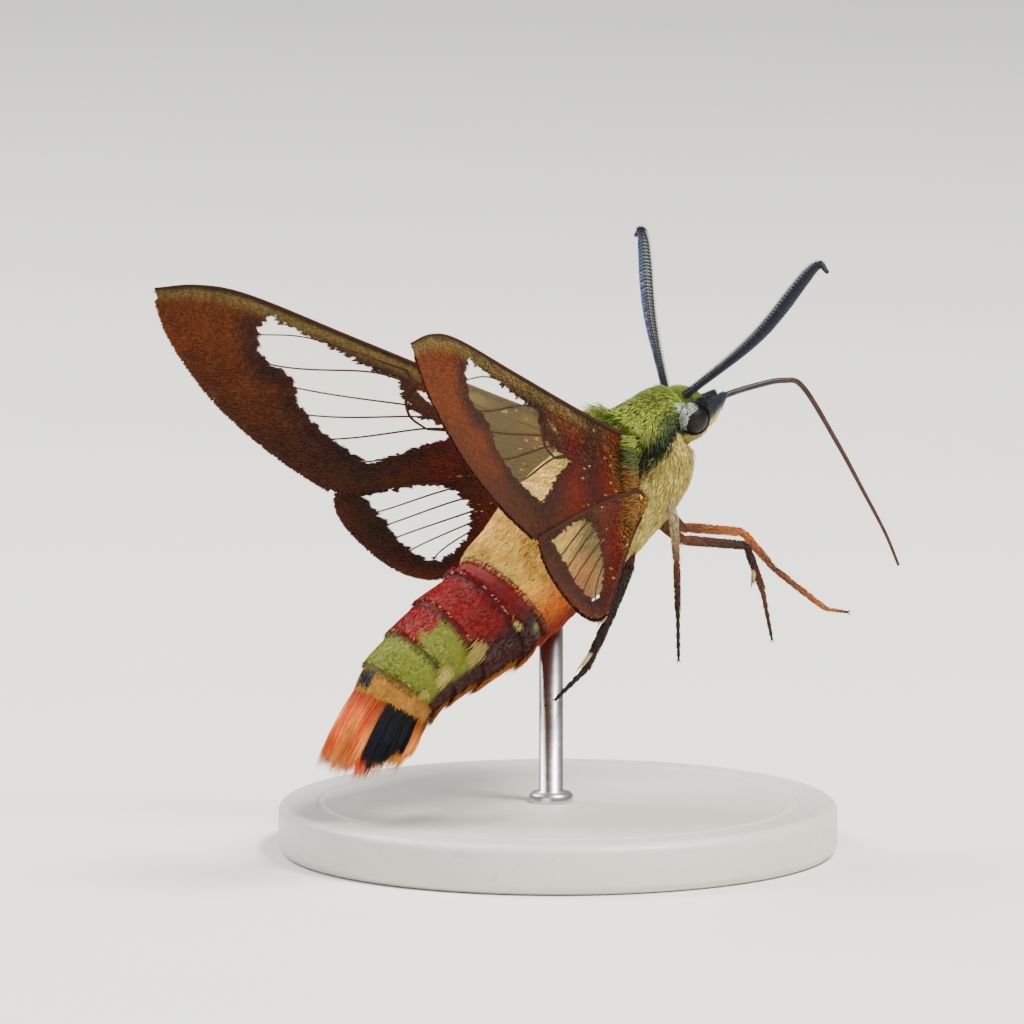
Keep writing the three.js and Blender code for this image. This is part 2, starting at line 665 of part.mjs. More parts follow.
// What each piece keeps clear of: its neighbours, thicker by the gap
const chestCut = chestCore(GAP);
const loinCut = loinCore(GAP);
const headCut = headSolid(GAP);
const plainWing = (wing, side) => wingSolid({ ...wing, veins: [] }, side, GAP + VEIN_RISE);
const bothWings = (side) => [plainWing(FOREWING, side), plainWing(HINDWING, side)];
const wingCuts = Object.values(sides).flatMap(bothWings);
const legCuts = Object.values(LEGS).map((leg) => legSolid(leg, GAP));
const rodCut = standRod(GAP);
const eyeCuts = Object.values(sides).map((side) => eyeSolid(side, GAP));
const palpCuts = Object.values(sides).map((side) => palpSolid(side, GAP));
const antennaCuts = Object.values(sides).map((side) => antennaSolid(side, GAP));
const tongueCut = tongueLength(0, TONGUE_CUTS[1], GAP);

// What lies behind a place on the body's line, or before it, cut square to the line
function startingAt(solid, share) {
  const { centre, tangent } = bodyAt(share);
  return solid.trimByPlane(tangent.toArray(), centre.dot(tangent) + GAP / 2);
}

function endingAt(solid, share) {
  const { centre, tangent } = bodyAt(share);
  return solid.trimByPlane(tangent.clone().negate().toArray(), GAP / 2 - centre.dot(tangent));
}

// Stand
addPiece("stand_base", standBase(), 0xd8d4cc, 0.6);
addPiece("stand_rod", without(standRod(0), [chestCut, loinCut]), 0x9a9a98, 0.3, 1);

// Chest
const chest = endingAt(startingAt(union([chestCore(0), ...coatBand(1, COAT.thorax)]), neck), waist);
const chestCuts = [headCut, ...eyeCuts, ...wingCuts, ...legCuts, rodCut];
addPiece("thorax", without(chest, chestCuts), 0x9c9440, 0.95);

// Head and what grows from it
const crown = without(union(headLocks()), [...eyeCuts, ...palpCuts, ...antennaCuts, tongueCut]);
const skull = without(headSolid(0), eyeCuts);
addPiece("head", endingAt(skull.add(crown), neck), 0x8f8a4a, 0.9);
for (const [name, side] of Object.entries(sides)) {
  addPiece(`eye_${name}`, eyeSolid(side, 0), 0x1c1210, 0.2);
  addPiece(`palp_${name}`, without(palpSolid(side, 0), [headCut, eyeSolid(side, GAP)]), 0x7c8790, 0.8);
  addPiece(`antenna_${name}`, antennaSolid(side, 0).subtract(headCut), 0x14161c, 0.5);
}
const tongueColours = { base: 0x23262e, middle: 0x3b2723, tip: 0x5a3324 };
Object.entries(tongueColours).forEach(([name, colour], i) => {
  const from = TONGUE_CUTS[i] + (name === "base" ? 0 : TONGUE_GAP);
  const to = TONGUE_CUTS[i + 1] - (name === "tip" ? 0 : TONGUE_GAP);
  addPiece(`proboscis_${name}`, tongueLength(from, to, 0).subtract(headCut), colour, 0.45);
});

// Abdomen: the long-haired loin, then five rings
const loin = startingAt(union([loinCore(0), ...coatBand(200, COAT.abdomen_1)]), waist);
const ringCuts = RINGS.slice(0, 2).map((ring) => abdomenRing(ring, GAP));
addPiece("abdomen_1", without(loin, [...ringCuts, ...wingCuts, ...legCuts, rodCut]), 0xd09a3a, 0.95);
RINGS.forEach((ring, i) => {
  const tufts = FLANK_TUFTS.filter((tuft) => tuft.node === ring.node).flatMap(flankTufts);
  const whole = union([abdomenRing(ring, 0), ...tufts]);
  const next = RINGS.slice(i + 1, i + 2).map((behind) => abdomenRing(behind, GAP));
  addPiece(ring.node, without(whole, next), ring.colour, 0.85);
});

// Tail
const slab = (solid) =>
  solid.trimByPlane([1, 0, 0], GAP / 2 - TAIL_SPLIT).trimByPlane([-1, 0, 0], GAP / 2 - TAIL_SPLIT);
const seam = tailEnd.centre.dot(tailEnd.up) + TAIL_SEAM;
const above = (solid) => solid.trimByPlane(tailEnd.up.toArray(), seam + GAP / 2);
const below = (solid) => solid.trimByPlane(tailEnd.up.clone().negate().toArray(), GAP / 2 - seam);
const behindTail = (solid) =>
  solid.trimByPlane(tailEnd.tangent.toArray(), tailEnd.centre.dot(tailEnd.tangent) + GAP / 2);
const tuft = (rows, side) => behindTail(union([brushCore(), ...tuftVanes(rows, side)]));
addPiece("tail_centre", above(slab(tuft(TAIL_TUFTS.tail_centre, 0))), 0xd0682a, 0.9);
addPiece("tail_under", below(slab(tuft(TAIL_TUFTS.tail_under, 0))), 0xc8642c, 0.9);
for (const [name, side] of Object.entries(sides)) {
  const sideTuft = tuft(TAIL_TUFTS.tail_side, side).trimByPlane([side, 0, 0], TAIL_SPLIT + GAP / 2);
  addPiece(`tail_${name}`, sideTuft, 0x14151c, 0.85);
}

// Wings and legs
for (const [name, side] of Object.entries(sides)) {
  addPiece(`forewing_${name}`, without(wingSolid(FOREWING, side, 0), [chestCut, loinCut]), 0x6a4436, 0.6);
  addPiece(`hindwing_${name}`, without(wingSolid(HINDWING, side, 0), [chestCut, loinCut]), 0x7a2a22, 0.6);
}
for (const [name, leg] of Object.entries(LEGS)) {
  const whole = union([legSolid(leg, 0), ...legSpurs(name)]);
  addPiece(name, without(whole, [chestCut, loinCut]), 0x3a2418, 0.7);
}

export default model;
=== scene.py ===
import math

import bpy
import numpy as np
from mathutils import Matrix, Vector


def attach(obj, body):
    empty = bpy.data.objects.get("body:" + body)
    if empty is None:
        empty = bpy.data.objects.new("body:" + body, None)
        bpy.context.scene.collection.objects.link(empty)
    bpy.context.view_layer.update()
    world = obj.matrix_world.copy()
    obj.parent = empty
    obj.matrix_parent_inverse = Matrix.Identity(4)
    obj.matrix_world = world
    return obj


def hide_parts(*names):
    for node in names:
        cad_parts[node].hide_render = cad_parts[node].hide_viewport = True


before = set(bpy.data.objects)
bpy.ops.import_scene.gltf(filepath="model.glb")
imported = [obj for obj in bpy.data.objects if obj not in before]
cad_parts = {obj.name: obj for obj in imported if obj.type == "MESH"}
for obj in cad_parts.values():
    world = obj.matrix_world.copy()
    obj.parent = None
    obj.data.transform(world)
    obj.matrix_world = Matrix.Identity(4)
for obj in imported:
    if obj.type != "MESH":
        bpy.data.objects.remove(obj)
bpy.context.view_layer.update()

# Hummingbird clearwing moth on a display stand, at life size. Sizes below are in millimetres,
# +Z up, with the head towards -Y and the moth's right side at -X, and become metres in each mesh.
MM = 0.001
TURN = 2 * math.pi
SIDES = ((1, "left"), (-1, "right"))
rng = np.random.default_rng(20)

# Places and half sizes of the skin from the head's centre to the root of the tail.
# Each row: y, z, half width, half height.
SKIN = np.array([
    [-7.2, 21.6, 1.5, 1.2],  # head
    [-5.95, 21.15, 1.42, 1.75],  # neck
    [-4.87, 19.73, 2.55, 2.75],  # collar
    [-2.8, 17.95, 2.95, 3.0],  # wings
    [-0.6, 16.2, 3.1, 3.1],  # waist
    [1.6, 14.25, 2.9, 2.75],  # loin
    [3.3, 12.8, 2.95, 2.75],  # ring 1
    [4.25, 12.1, 2.95, 2.75],  # ring 2
    [6.35, 10.95, 2.75, 2.55],  # ring 3
    [7.9, 9.95, 2.45, 2.25],  # ring 4
    [9.15, 8.85, 2.2, 2.1],  # ring 5
    [9.8, 7.8, 1.9, 1.85],  # tail
])
HEAD_AT = -1.0  # places along the body: 0 is the neck and 10 the root of the tail
FRONT_AT = -2.0
RING1_AT, TAIL_AT, END_AT = 5.0, 10.0, 11.0
FACE_LENGTH, END_LENGTH = 1.25, 1.3
HEAD_PITCH = math.radians(24)
RING_STEP = 0.05  # how far the rear edge of a ring stands above the front of the next, as a share

# Colours of the coat, as they look in daylight
COLOURS = {
    "olive": "#6d7a2a", "olive_gold": "#888a38", "olive_bright": "#6d731b", "olive_in_shade": "#39451f",
    "black_green": "#141c10", "cream": "#b5a258", "straw": "#8f7c3c", "gold": "#cf8c30",
    "tan_gold": "#e8bb5c", "orange_tan": "#bf6420", "rust": "#85301a", "brown_gold": "#5e3d12",
    "maroon": "#780504", "maroon_in_shade": "#300605", "ochre": "#a06c20", "fringe_orange": "#8f4f18",
    "orange_root": "#d25216",
    "orange_glow": "#ffa244", "coral": "#ee3c10", "amber": "#ffa42c", "black": "#0b0d12",
    "blue_black": "#090f1c", "silver": "#b4baae", "grey_blue": "#3b474f", "wing_border": "#522408",
    "wing_dark": "#26120a", "wing_lead": "#5a4a22", "wing_red": "#480f06", "leg_dark": "#1d120d",
    "leg_brown": "#4a2812", "leg_orange": "#8f4c1c", "leg_pale": "#8f805c", "tongue_black": "#15171d",
    "tongue_brown": "#3a1c12", "sheen_blue": "#2d4f96",
}


# Colours and small vector helpers
def linear(name):
    channels = [int(COLOURS[name][i:i + 2], 16) / 255 for i in (1, 3, 5)]
    return np.array([c / 12.92 if c <= 0.04045 else ((c + 0.055) / 1.055) ** 2.4 for c in channels])


def plain(name, shape):
    """One colour at every place."""
    return np.broadcast_to(linear(name), (*shape, 3))


def layered(colour, *layers):
    """Colours with others over them: each layer is a colour's name and its share at every place."""
    for name, share in layers:
        colour = colour + (linear(name) - colour) * np.clip(share, 0, 1)[..., None]
    return colour


def shade(colour, spread):
    """The colour of each tuft, lighter or darker at random."""
    return colour * np.exp(rng.normal(0, spread, (len(colour), 1)))


def unit(vectors):
    return vectors / np.maximum(np.linalg.norm(vectors, axis=-1, keepdims=True), 1e-9)


def mirrored(places, side):
    """Places or directions made for the left side, on the left (1) or on the right (-1)."""
    return places * np.array([side, 1, 1])


def step(value, low, high):
    """0 below low, 1 above high, smooth between."""
    share = np.clip((value - low) / (high - low), 0, 1)
    return share * share * (3 - 2 * share)


def bell(value, middle, width):
    """1 at the middle, falling to 0 on both sides."""
    return np.exp(-((value - middle) / width) ** 2)


# Direction and phase of each wave of a ripple
WAVES = ((1.0, 0.31, 0.57, 0.3), (-0.43, 0.92, 0.36, 1.7), (0.21, -0.66, 0.98, 4.1), (0.77, 0.58, -0.69, 2.6))


def ripple(places, scale):
    """A smooth field between about -1 and 1 that varies over scale millimetres."""
    total = sum(np.sin(places @ np.array(wave[:places.shape[-1]]) * (TURN / scale) * (1 + 0.37 * i) + wave[3])
                for i, wave in enumerate(WAVES))
    return total / 2.4


def spline(rows, place):
    """Catmull-Rom through rows, which stand at whole numbers from 0."""
    padded = np.vstack([2 * rows[0] - rows[1], rows, 2 * rows[-1] - rows[-2]])
    place = np.clip(place, 0, len(rows) - 1)
    index = np.minimum(np.floor(place).astype(int), len(rows) - 2)
    f = (place - index)[..., None]
    a, b, c, d = (padded[index + i] for i in range(4))
    return 0.5 * (2 * b + (c - a) * f + (2 * a - 5 * b + 4 * c - d) * f**2 + (3 * b - a - 3 * c + d) * f**3)


def even_spline(points, shares):
    """Places along a smooth line through points, at shares of its length."""
    points = np.asarray(points, float)
    fine = spline(points, np.linspace(0, len(points) - 1, 400))
    length = np.concatenate([[0], np.cumsum(np.linalg.norm(np.diff(fine, axis=0), axis=1))])
    return np.stack([np.interp(shares, length / length[-1], fine[:, i]) for i in range(fine.shape[1])], -1)


def smooth(values, width):
    """A running mean along a list that keeps its ends."""
    kernel = np.ones(2 * width + 1) / (2 * width + 1)
    return np.convolve(np.pad(values, width, mode="edge"), kernel, "valid")


def angles(count):
    return np.arange(count) / count * TURN


def unwrapped(u, v, margin=0.05):
    """Places on the map from shares across and up it."""
    return margin + (1 - 2 * margin) * np.stack([u, v], -1)


# Meshes
def new_mesh(name, points, faces, material, tint=None, values=None, uvs=None):
    """A smooth mesh that rides on the model, with its colours and, per corner, its OFBake map."""
    mesh = bpy.data.meshes.new(name)
    mesh.from_pydata((points * MM).tolist(), [], faces if isinstance(faces, list) else faces.tolist())
    mesh.update()
    mesh.polygons.foreach_set("use_smooth", np.ones(len(mesh.polygons), bool))
    if tint is not None:
        layer = mesh.attributes.new("tint", "FLOAT_COLOR", "POINT")
        tint = np.column_stack([tint, np.ones(len(tint))])
        layer.data.foreach_set("color", tint.astype(np.float32).ravel())
    for key, numbers in (values or {}).items():
        layer = mesh.attributes.new(key, "FLOAT", "POINT")
        layer.data.foreach_set("value", numbers.astype(np.float32))
    if uvs is not None:
        corners = np.empty(len(mesh.loops), np.int32)
        mesh.loops.foreach_get("vertex_index", corners)
        layer = mesh.uv_layers.new(name="OFBake")
        layer.data.foreach_set("uv", uvs[corners].astype(np.float32).ravel())
    mesh.materials.append(material)
    piece = bpy.data.objects.new(name, mesh)
    bpy.context.scene.collection.objects.link(piece)
    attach(piece, "root")
    return piece


def grid_faces(rows, columns, closed):
    """Quads between rows of points; closed joins each row's last point to its first."""
    across = columns if closed else columns - 1
    row, column = np.meshgrid(np.arange(rows - 1), np.arange(across), indexing="ij")
    near = row * columns + column
    beside = row * columns + (column + 1) % columns
    return np.stack([near, beside, beside + columns, near + columns], -1).reshape(-1, 4)


def tube(path, radii, sides, flat=1.0):
    """Points, faces and ring numbers of a closed tube; flat squeezes it across."""
    tangent = unit(np.gradient(path, axis=0))
    up = unit(np.cross(tangent, [1.0, 0, 0]))
    across = unit(np.cross(up, tangent))
    turn = angles(sides)[:, None]
    rings = across[:, None] * np.cos(turn) * flat + up[:, None] * np.sin(turn)
    points = (path[:, None] + rings * np.asarray(radii)[:, None, None]).reshape(-1, 3)
    faces = grid_faces(len(path), sides, True).tolist()
    faces += [list(range(sides))[::-1], list(range(len(points) - sides, len(points)))]
    return points, faces, np.repeat(np.arange(len(path)), sides)


def joined(parts):
    """Several (points, faces, tint) sets as one."""
    faces, start = [], 0
    for points, part_faces, _ in parts:
        faces += [[i + start for i in face] for face in part_faces]
        start += len(points)
    return np.vstack([part[0] for part in parts]), faces, np.vstack([part[2] for part in parts])


SECTION_WIDTHS = {2: (0.8, 1.0), 3: (0.7, 1.0, 0.72)}  # along a tuft of two or three sections
KNEE, TIP_DROP = 0.45, 0.25  # where a tuft bends most, and how far its tip comes back down
PATCH = 0.003  # size of a tuft's patch on the map


def tufts(name, material, roots, normals, lies, length, width, lift, tint, tip, uv, sections=2, sink=0.12,
          thick=0.4):
    """Tapered tufts of hair or scales: each a three-sided blade from under the skin to its tip.

    tip is the colour of each tuft's tip, or how much brighter than its root it is."""
    count = len(roots)
    length, width, lift = (np.broadcast_to(np.asarray(v, float), count)[:, None]
                           for v in (length, width, lift))
    normals = unit(normals)
    lies = unit(lies - normals * np.sum(lies * normals, -1, keepdims=True))
    across = unit(np.cross(lies, normals))
    start = roots - normals * sink
    knee = roots + lies * KNEE * length + normals * lift
    end = roots + lies * length + normals * lift * (1 - TIP_DROP)
    shares = np.linspace(0, 1, sections + 1)
    rings = []
    for share, wide in zip(shares[:-1], SECTION_WIDTHS[sections]):
        centre = (1 - share) ** 2 * start + 2 * share * (1 - share) * knee + share**2 * end
        half = across * width * wide / 2
        rings += [centre - half, centre + half, centre + normals * width * wide * thick]
    points = np.stack([*rings, end], 1)
    template = []
    for corner in range(0, 3 * (sections - 1), 3):
        for a, b in ((0, 1), (1, 2), (2, 0)):
            a, b = corner + a, corner + b
            template += [[a, b, b + 3], [a, b + 3, a + 3]]
    last, per = 3 * (sections - 1), 3 * sections + 1
    template += [[last, last + 1, per - 1], [last + 1, last + 2, per - 1], [last + 2, last, per - 1]]
    faces = (np.arange(count)[:, None, None] * per + np.array(template)[None]).reshape(-1, 3)
    along = np.append(np.repeat(shares[:-1], 3), 1.0)
    sideways = np.array([-1, 1, 0] * sections + [0])
    tip_tint = np.minimum(tint * tip if np.isscalar(tip) else tip, 1)
    colours = tint[:, None] * (1 - along[None, :, None]) + tip_tint[:, None] * along[None, :, None]
    uvs = uv[:, None] + np.stack([sideways * PATCH / 2, (along - 0.5) * PATCH], -1)[None]
    return new_mesh(name, points.reshape(-1, 3), faces, material, colours.reshape(-1, 3),
                    {"along": np.tile(along, count)}, uvs.reshape(-1, 2))


# Materials
class Shader:
    """Short names for building one node material."""

    def __init__(self, name):
        self.material = bpy.data.materials.new(name)
        self.material.use_nodes = True
        self.tree = self.material.node_tree
        self.principled = self.tree.nodes["Principled BSDF"]

    def node(self, kind, links=None, **settings):
        made = self.tree.nodes.new(kind)
        for key, value in settings.items():
            if hasattr(made, key):
                setattr(made, key, value)
            else:
                made.inputs[key].default_value = value
        for socket, source in (links or {}).items():
            self.tree.links.new(source, made.inputs[socket])
        return made

    def set(self, **values):
        for key, value in values.items():
            self.principled.inputs[key.replace("_", " ")].default_value = value

    def link(self, source, socket):
        self.tree.links.new(source, self.principled.inputs[socket])

    def attribute(self, name, output="Fac"):
        return self.node("ShaderNodeAttribute", attribute_name=name).outputs[output]

    def tint(self):
        return self.attribute("tint", "Color")

    def place(self):
        return self.node("ShaderNodeTexCoord").outputs["Object"]

    def noise(self, scale, detail=3.0, place=None):
        place = self.place() if place is None else place
        made = self.node("ShaderNodeTexNoise", {"Vector": place}, Scale=scale, Detail=detail)
        return made.outputs["Fac"]

    def cells(self, scale):
        return self.node("ShaderNodeTexVoronoi", {"Vector": self.place()}, Scale=scale).outputs["Distance"]

    def mix(self, share, first, second, blend_type="MIX"):
        made = self.node("ShaderNodeMix", data_type="RGBA", blend_type=blend_type)
        for index, value in ((0, share), (6, first), (7, second)):
            if hasattr(value, "is_output"):
                self.tree.links.new(value, made.inputs[index])
            else:
                made.inputs[index].default_value = (*value, 1) if isinstance(value, tuple) else value
        return made.outputs[2]

    def times(self, first, second):
        return self.mix(1.0, first, second, "MULTIPLY")

    def ramp(self, source, low, high, start=0.0, end=1.0):
        """start where the source is low, end where it is high."""
        made = self.node("ShaderNodeMapRange", {"Value": source})
        for socket, value in zip(("From Min", "From Max", "To Min", "To Max"), (low, high, start, end)):
            made.inputs[socket].default_value = value
        return made.outputs["Result"]

    def rough(self, source, start, end, low=0.3, high=0.7):
        self.link(self.ramp(source, low, high, start, end), "Roughness")

    def bump(self, height, distance, strength=1.0):
        made = self.node("ShaderNodeBump", {"Height": height}, Distance=distance, Strength=strength)
        self.link(made.outputs["Normal"], "Normal")


def coat_material(name, roughness, sheen=0.0, specular=0.1, dark=0.75):
    """Hair or scales: the tint of each tuft, uneven from tuft to tuft, darker at the roots."""
    shader = Shader(name)
    noise = shader.noise(900.0)
    varied = shader.times(shader.tint(), shader.ramp(noise, 0.3, 0.7, 0.72, 1.25))
    root_shade = shader.ramp(shader.attribute("along"), 0.0, 0.7, dark, 1.0)
    shader.link(shader.times(varied, root_shade), "Base Color")
    shader.rough(noise, roughness - 0.1, roughness + 0.1)
    shader.set(Sheen_Weight=sheen, Sheen_Roughness=0.4, Specular_IOR_Level=specular)
    return shader.material


def skin_material(name, roughness=0.75, scales=2600.0):
    """Skin under the coat: the same markings, with fine scales pressed flat on it."""
    shader = Shader(name)
    cells = shader.cells(scales)
    shader.link(shader.times(shader.tint(), shader.ramp(cells, 0.0, 0.8, 1.05, 0.6)), "Base Color")
    shader.rough(shader.noise(1200.0), roughness - 0.12, roughness + 0.1)
    shader.bump(cells, 0.00006, 0.8)
    return shader.material


def fine_material(name, scale, colour, rough, specular, bump):
    """Colour, gloss and relief from one noise. colour makes the base colour from the shader and the noise."""
    shader = Shader(name)
    noise = shader.noise(scale)
    shader.link(colour(shader, noise), "Base Color")
    shader.rough(noise, *rough)
    shader.set(Specular_IOR_Level=specular)
    shader.bump(noise, *bump)
    return shader.material


# Body surface: every place is given along the body and round it, where angle 0 is the moth's left
# side, a quarter turn is its back and three quarters its belly.
NUDGE = 0.02  # a short way along or round the body


def body_section(along):
    """Centre and tangent in the y, z plane, and half width and height, of the skin's section."""
    along = np.asarray(along, float)
    inner = np.clip(along, HEAD_AT, TAIL_AT)
    rows = spline(SKIN, inner + 1)
    ahead, behind = (spline(SKIN, np.clip(inner + shift, HEAD_AT, TAIL_AT) + 1) for shift in (0.03, -0.03))
    face = np.array([math.cos(HEAD_PITCH), -math.sin(HEAD_PITCH)])
    front = step(-along, 0.4, 1.0)[..., None]
    tangent = unit(unit((ahead - behind)[..., :2]) * (1 - front) + face * front)
    centre, size = rows[..., :2].copy(), rows[..., 2:].copy()
    for past, cap_length in ((HEAD_AT - along, -FACE_LENGTH), (along - TAIL_AT, END_LENGTH)):
        turn = np.clip(past, 0, 1) * math.pi / 2
        centre += tangent * (cap_length * np.sin(turn))[..., None]
        size *= np.cos(turn)[..., None]
    ring = np.clip(along, RING1_AT, TAIL_AT)
    saw = np.clip((ring - np.floor(ring + 0.04)) + 0.04, 0, 1)
    swell = 1 + RING_STEP * (saw ** 1.4 * 1.4 - 0.9) * step(along, 4.8, 5.05) * step(-along, -10.2, -9.9)
    return centre, tangent, size * swell[..., None]


def skin_point(along, angle):
    centre, tangent, size = body_section(along)
    rise = size[..., 1] * np.sin(angle)
    return np.stack([size[..., 0] * np.cos(angle), centre[..., 0] - tangent[..., 1] * rise,
                     centre[..., 1] + tangent[..., 0] * rise], -1)


def skin_steps(along, angle):
    """Short steps on the skin, back along the body and round it."""
    return (skin_point(along + NUDGE, angle) - skin_point(along - NUDGE, angle),
            skin_point(along, angle + NUDGE) - skin_point(along, angle - NUDGE))


def skin_frame(along, angle):
    """Point on the skin, its outward normal and the direction back along the body."""
    back, round_ = skin_steps(along, angle)
    point = skin_point(along, angle)
    outward = point.copy()
    outward[..., 1:] -= body_section(along)[0]
    normal = unit(np.cross(round_, back))
    normal *= np.sign(np.sum(normal * outward, -1, keepdims=True) + 1e-9)
    return point, normal, unit(back)


def body_uv(along, angle):
    return unwrapped(np.mod(angle / TURN, 1.0), (along - FRONT_AT) / (END_AT - FRONT_AT), 0.01)


def scatter(count, low, high, keep):
    """Random places on the body between two places along it, even over its area where keep is 1."""
    along, angle = np.empty(0), np.empty(0)
    while len(along) < count:
        a = rng.uniform(low, high, 4 * count)
        b = rng.uniform(0, TURN, 4 * count)
        area = np.linalg.norm(np.cross(*skin_steps(a, b)), axis=-1)
        kept = rng.uniform(0, np.percentile(area, 99.5), len(a)) < area * keep(a, b)
        along, angle = np.append(along, a[kept]), np.append(angle, b[kept])
    return along[:count], angle[:count]


def markings(along, angle):
    """Colour of the coat at a place on the body."""
    place = skin_point(along, angle)
    back = np.sin(angle)  # 1 on the back, 0 on the flanks, -1 on the belly
    uneven = 0.5 * ripple(place, 2.2) + 0.5 * ripple(place, 0.8)
    pale = step(0.28 + 0.05 * uneven - 0.7 * step(-along, -0.5, 0.3) - back, 0.0, 0.14)
    # painted shadow: a black-green band along the side, from behind the eye back to the wing roots
    lower = 0.18 - 0.5 * step(-along, -0.9, 0.3)
    side_shadow = step(-along, -2.5, -2.0) * step(back - lower, 0.0, 0.1) * step(lower + 0.38 - back, 0.0, 0.12)
    flank = (step(along, 2.3, 2.65) * step(-along, -4.2, -3.2)
             * step(0.55 - back, 0.0, 0.25) * step(back, -0.75, -0.3))
    marks = bell(along, 2.28, 0.08) * bell(back, -0.14, 0.2)
    marks += bell(along, 2.05, 0.06) * bell(back, -0.36, 0.12)
    thorax = layered(
        plain("olive", back.shape),
        ("olive_gold", 0.45 * step(uneven, -0.6, 0.9)),
        # painted shade: darker olive low on the sides of the head and the front of the thorax
        ("olive_in_shade", step(0.62 - back, 0.0, 0.32) * step(-along, -2.2, -0.8)),
        ("cream", pale),
        ("straw", 0.7 * pale * step(uneven, -0.1, 0.8)),
        ("black_green", side_shadow),
        ("brown_gold", 0.85 * flank),
        ("black_green", 0.85 * step(marks, 0.3, 0.7)))
    loin = layered(
        plain("gold", back.shape),
        ("tan_gold", 0.35 + 0.65 * step(uneven, -0.4, 0.5)),
        ("cream", 0.15 * step(back, 0.5, 0.9)),
        ("orange_tan", step(0.35 - back, 0.0, 0.6)),
        ("rust", step(-0.2 - back, 0.0, 0.5)),
        ("cream", 0.6 * step(along, 4.35, 4.75) * step(back, 0.1, 0.5)))
    side_patch = (step(along, 7.02, 7.12) * step(back, -0.42, -0.2)
                  * step(0.84 + 0.1 * uneven - back, 0.0, 0.1))
    side_spot = bell(along, 5.15, 0.16) * bell(back, -0.42, 0.12)
    rings = layered(
        plain("maroon", back.shape),
        # painted shade: darker maroon low on the flanks of the rings
        ("maroon_in_shade", step(0.3 - back + 0.15 * uneven, 0.0, 0.45)),
        ("olive_bright", side_patch),
        ("olive_bright", step(along, 8.0, 8.06) * step(back, -0.35, -0.1)),
        ("ochre", step(along + 0.05 * uneven, 8.95, 9.1)),
        ("black", step(along, 9.04, 9.14) * step(-along, -9.6, -9.4) * step(back, 0.93, 0.975)),
        ("olive_bright", 0.8 * step(side_spot, 0.35, 0.7)),
        ("fringe_orange", 0.75 * step(-0.78 - back, 0.0, 0.15)),
        # painted shadow: a thin black line at the front of each ring, under the overhanging edge of the ring
        # before
        *[("black", 0.7 * bell(along, edge + 0.06, 0.06) * step(back, -0.3, 0.2)) for edge in (6, 7, 8, 9)])
    loin_share = step(along + 0.12 * uneven + 0.85 * step(back, 0.2, 0.5), 2.9, 3.5)[..., None]
    ring_share = step(along + 0.03 * uneven, 4.78, 4.86)[..., None]
    colour = thorax + (loin - thorax) * loin_share
    return colour + (rings - colour) * ring_share


def body_coat(name, material, count, low, high, keep, length, width, lift, droop=0.0, splay=0.2, tip=1.25,
              spread=0.16, colour=markings):
    """Tufts over a stretch of the body, lying back along it."""
    along, angle = scatter(count, low, high, keep)
    root, normal, back = skin_frame(along, angle)
    side = unit(np.cross(back, normal))
    lie = back + np.array([0, 0, -1.0]) * droop + side * rng.normal(0, splay, (count, 1))
    tint = shade(colour(along, angle), spread)
    long = length(along, angle) * rng.uniform(0.75, 1.15, count)
    high_lift = lift(along, angle) * rng.uniform(0.5, 1.1, count)
    return tufts(name, material, root, normal, lie, long, width * rng.uniform(0.7, 1.2, count), high_lift,
                 tint, tip, body_uv(along, angle))


# Skin
def body_skin():
    along = np.concatenate([np.linspace(FRONT_AT, HEAD_AT, 28)[:-1], np.linspace(HEAD_AT, TAIL_AT, 264)[:-1],
                            np.linspace(TAIL_AT, END_AT, 26)])
    a, b = np.meshgrid(along, angles(120), indexing="ij")
    points, tint, uvs = skin_point(a, b), markings(a, b), body_uv(a, b)
    return new_mesh("body_skin", points.reshape(-1, 3), grid_faces(*a.shape, True),
                    skin_material("scaled_skin"), tint.reshape(-1, 3), uvs=uvs.reshape(-1, 2))


skin = body_skin()
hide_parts("thorax", "head", "abdomen_1", "abdomen_2", "abdomen_3", "abdomen_4", "abdomen_5",
            "abdomen_6")

# Coat of the body, from the thorax to the last ring
wool = coat_material("coat_wool", 0.66, sheen=0.03, specular=0.2, dark=0.5)
scale_coat = coat_material("coat_scales", 0.55)


def hump(along, angle):
    """1 over the hump between the wings."""
    return step(along, -0.15, 0.5) * step(-along, -2.1, -0.8) * step(np.sin(angle), 0.2, 0.7)


def fringe_colour(along, angle):
    green = 0.3 * step(ripple(skin_point(along, angle), 1.5), 0.2, 0.7)
    return layered(plain("fringe_orange", along.shape), ("olive_bright", green),
                   ("rust", step(5.8 - along, 0.0, 0.8)))


coat_thorax = body_coat(
    "coat_thorax", wool, 20000, -0.5, 3.4, keep=lambda s, a: step(np.sin(a), -0.1, 0.25), width=0.07,
    length=lambda s, a: 0.75 + 0.6 * step(s, -0.1, 0.6) * step(-s, -2.4, -1.2),
    lift=lambda s, a: 0.26 + 0.42 * hump(s, a), droop=0.05, splay=0.25)
coat_chest = body_coat(
    "coat_chest", wool, 18000, -0.9, 3.6, keep=lambda s, a: step(-np.sin(a), -0.4, -0.1), width=0.065,
    length=lambda s, a: 0.6 + 0.5 * step(s, 0.3, 1.6), lift=lambda s, a: 0.12 + 0.16 * step(s, 0.3, 1.6),
    droop=0.15, splay=0.14)
coat_loin = body_coat(
    "coat_loin", wool, 18500, 2.9, 4.68, keep=lambda s, a: 1.0, width=0.07,
    length=lambda s, a: 1.1 - 0.65 * step(s, 4.0, 4.68), lift=lambda s, a: 0.45 - 0.25 * step(s, 4.0, 4.68),
    droop=0.08)
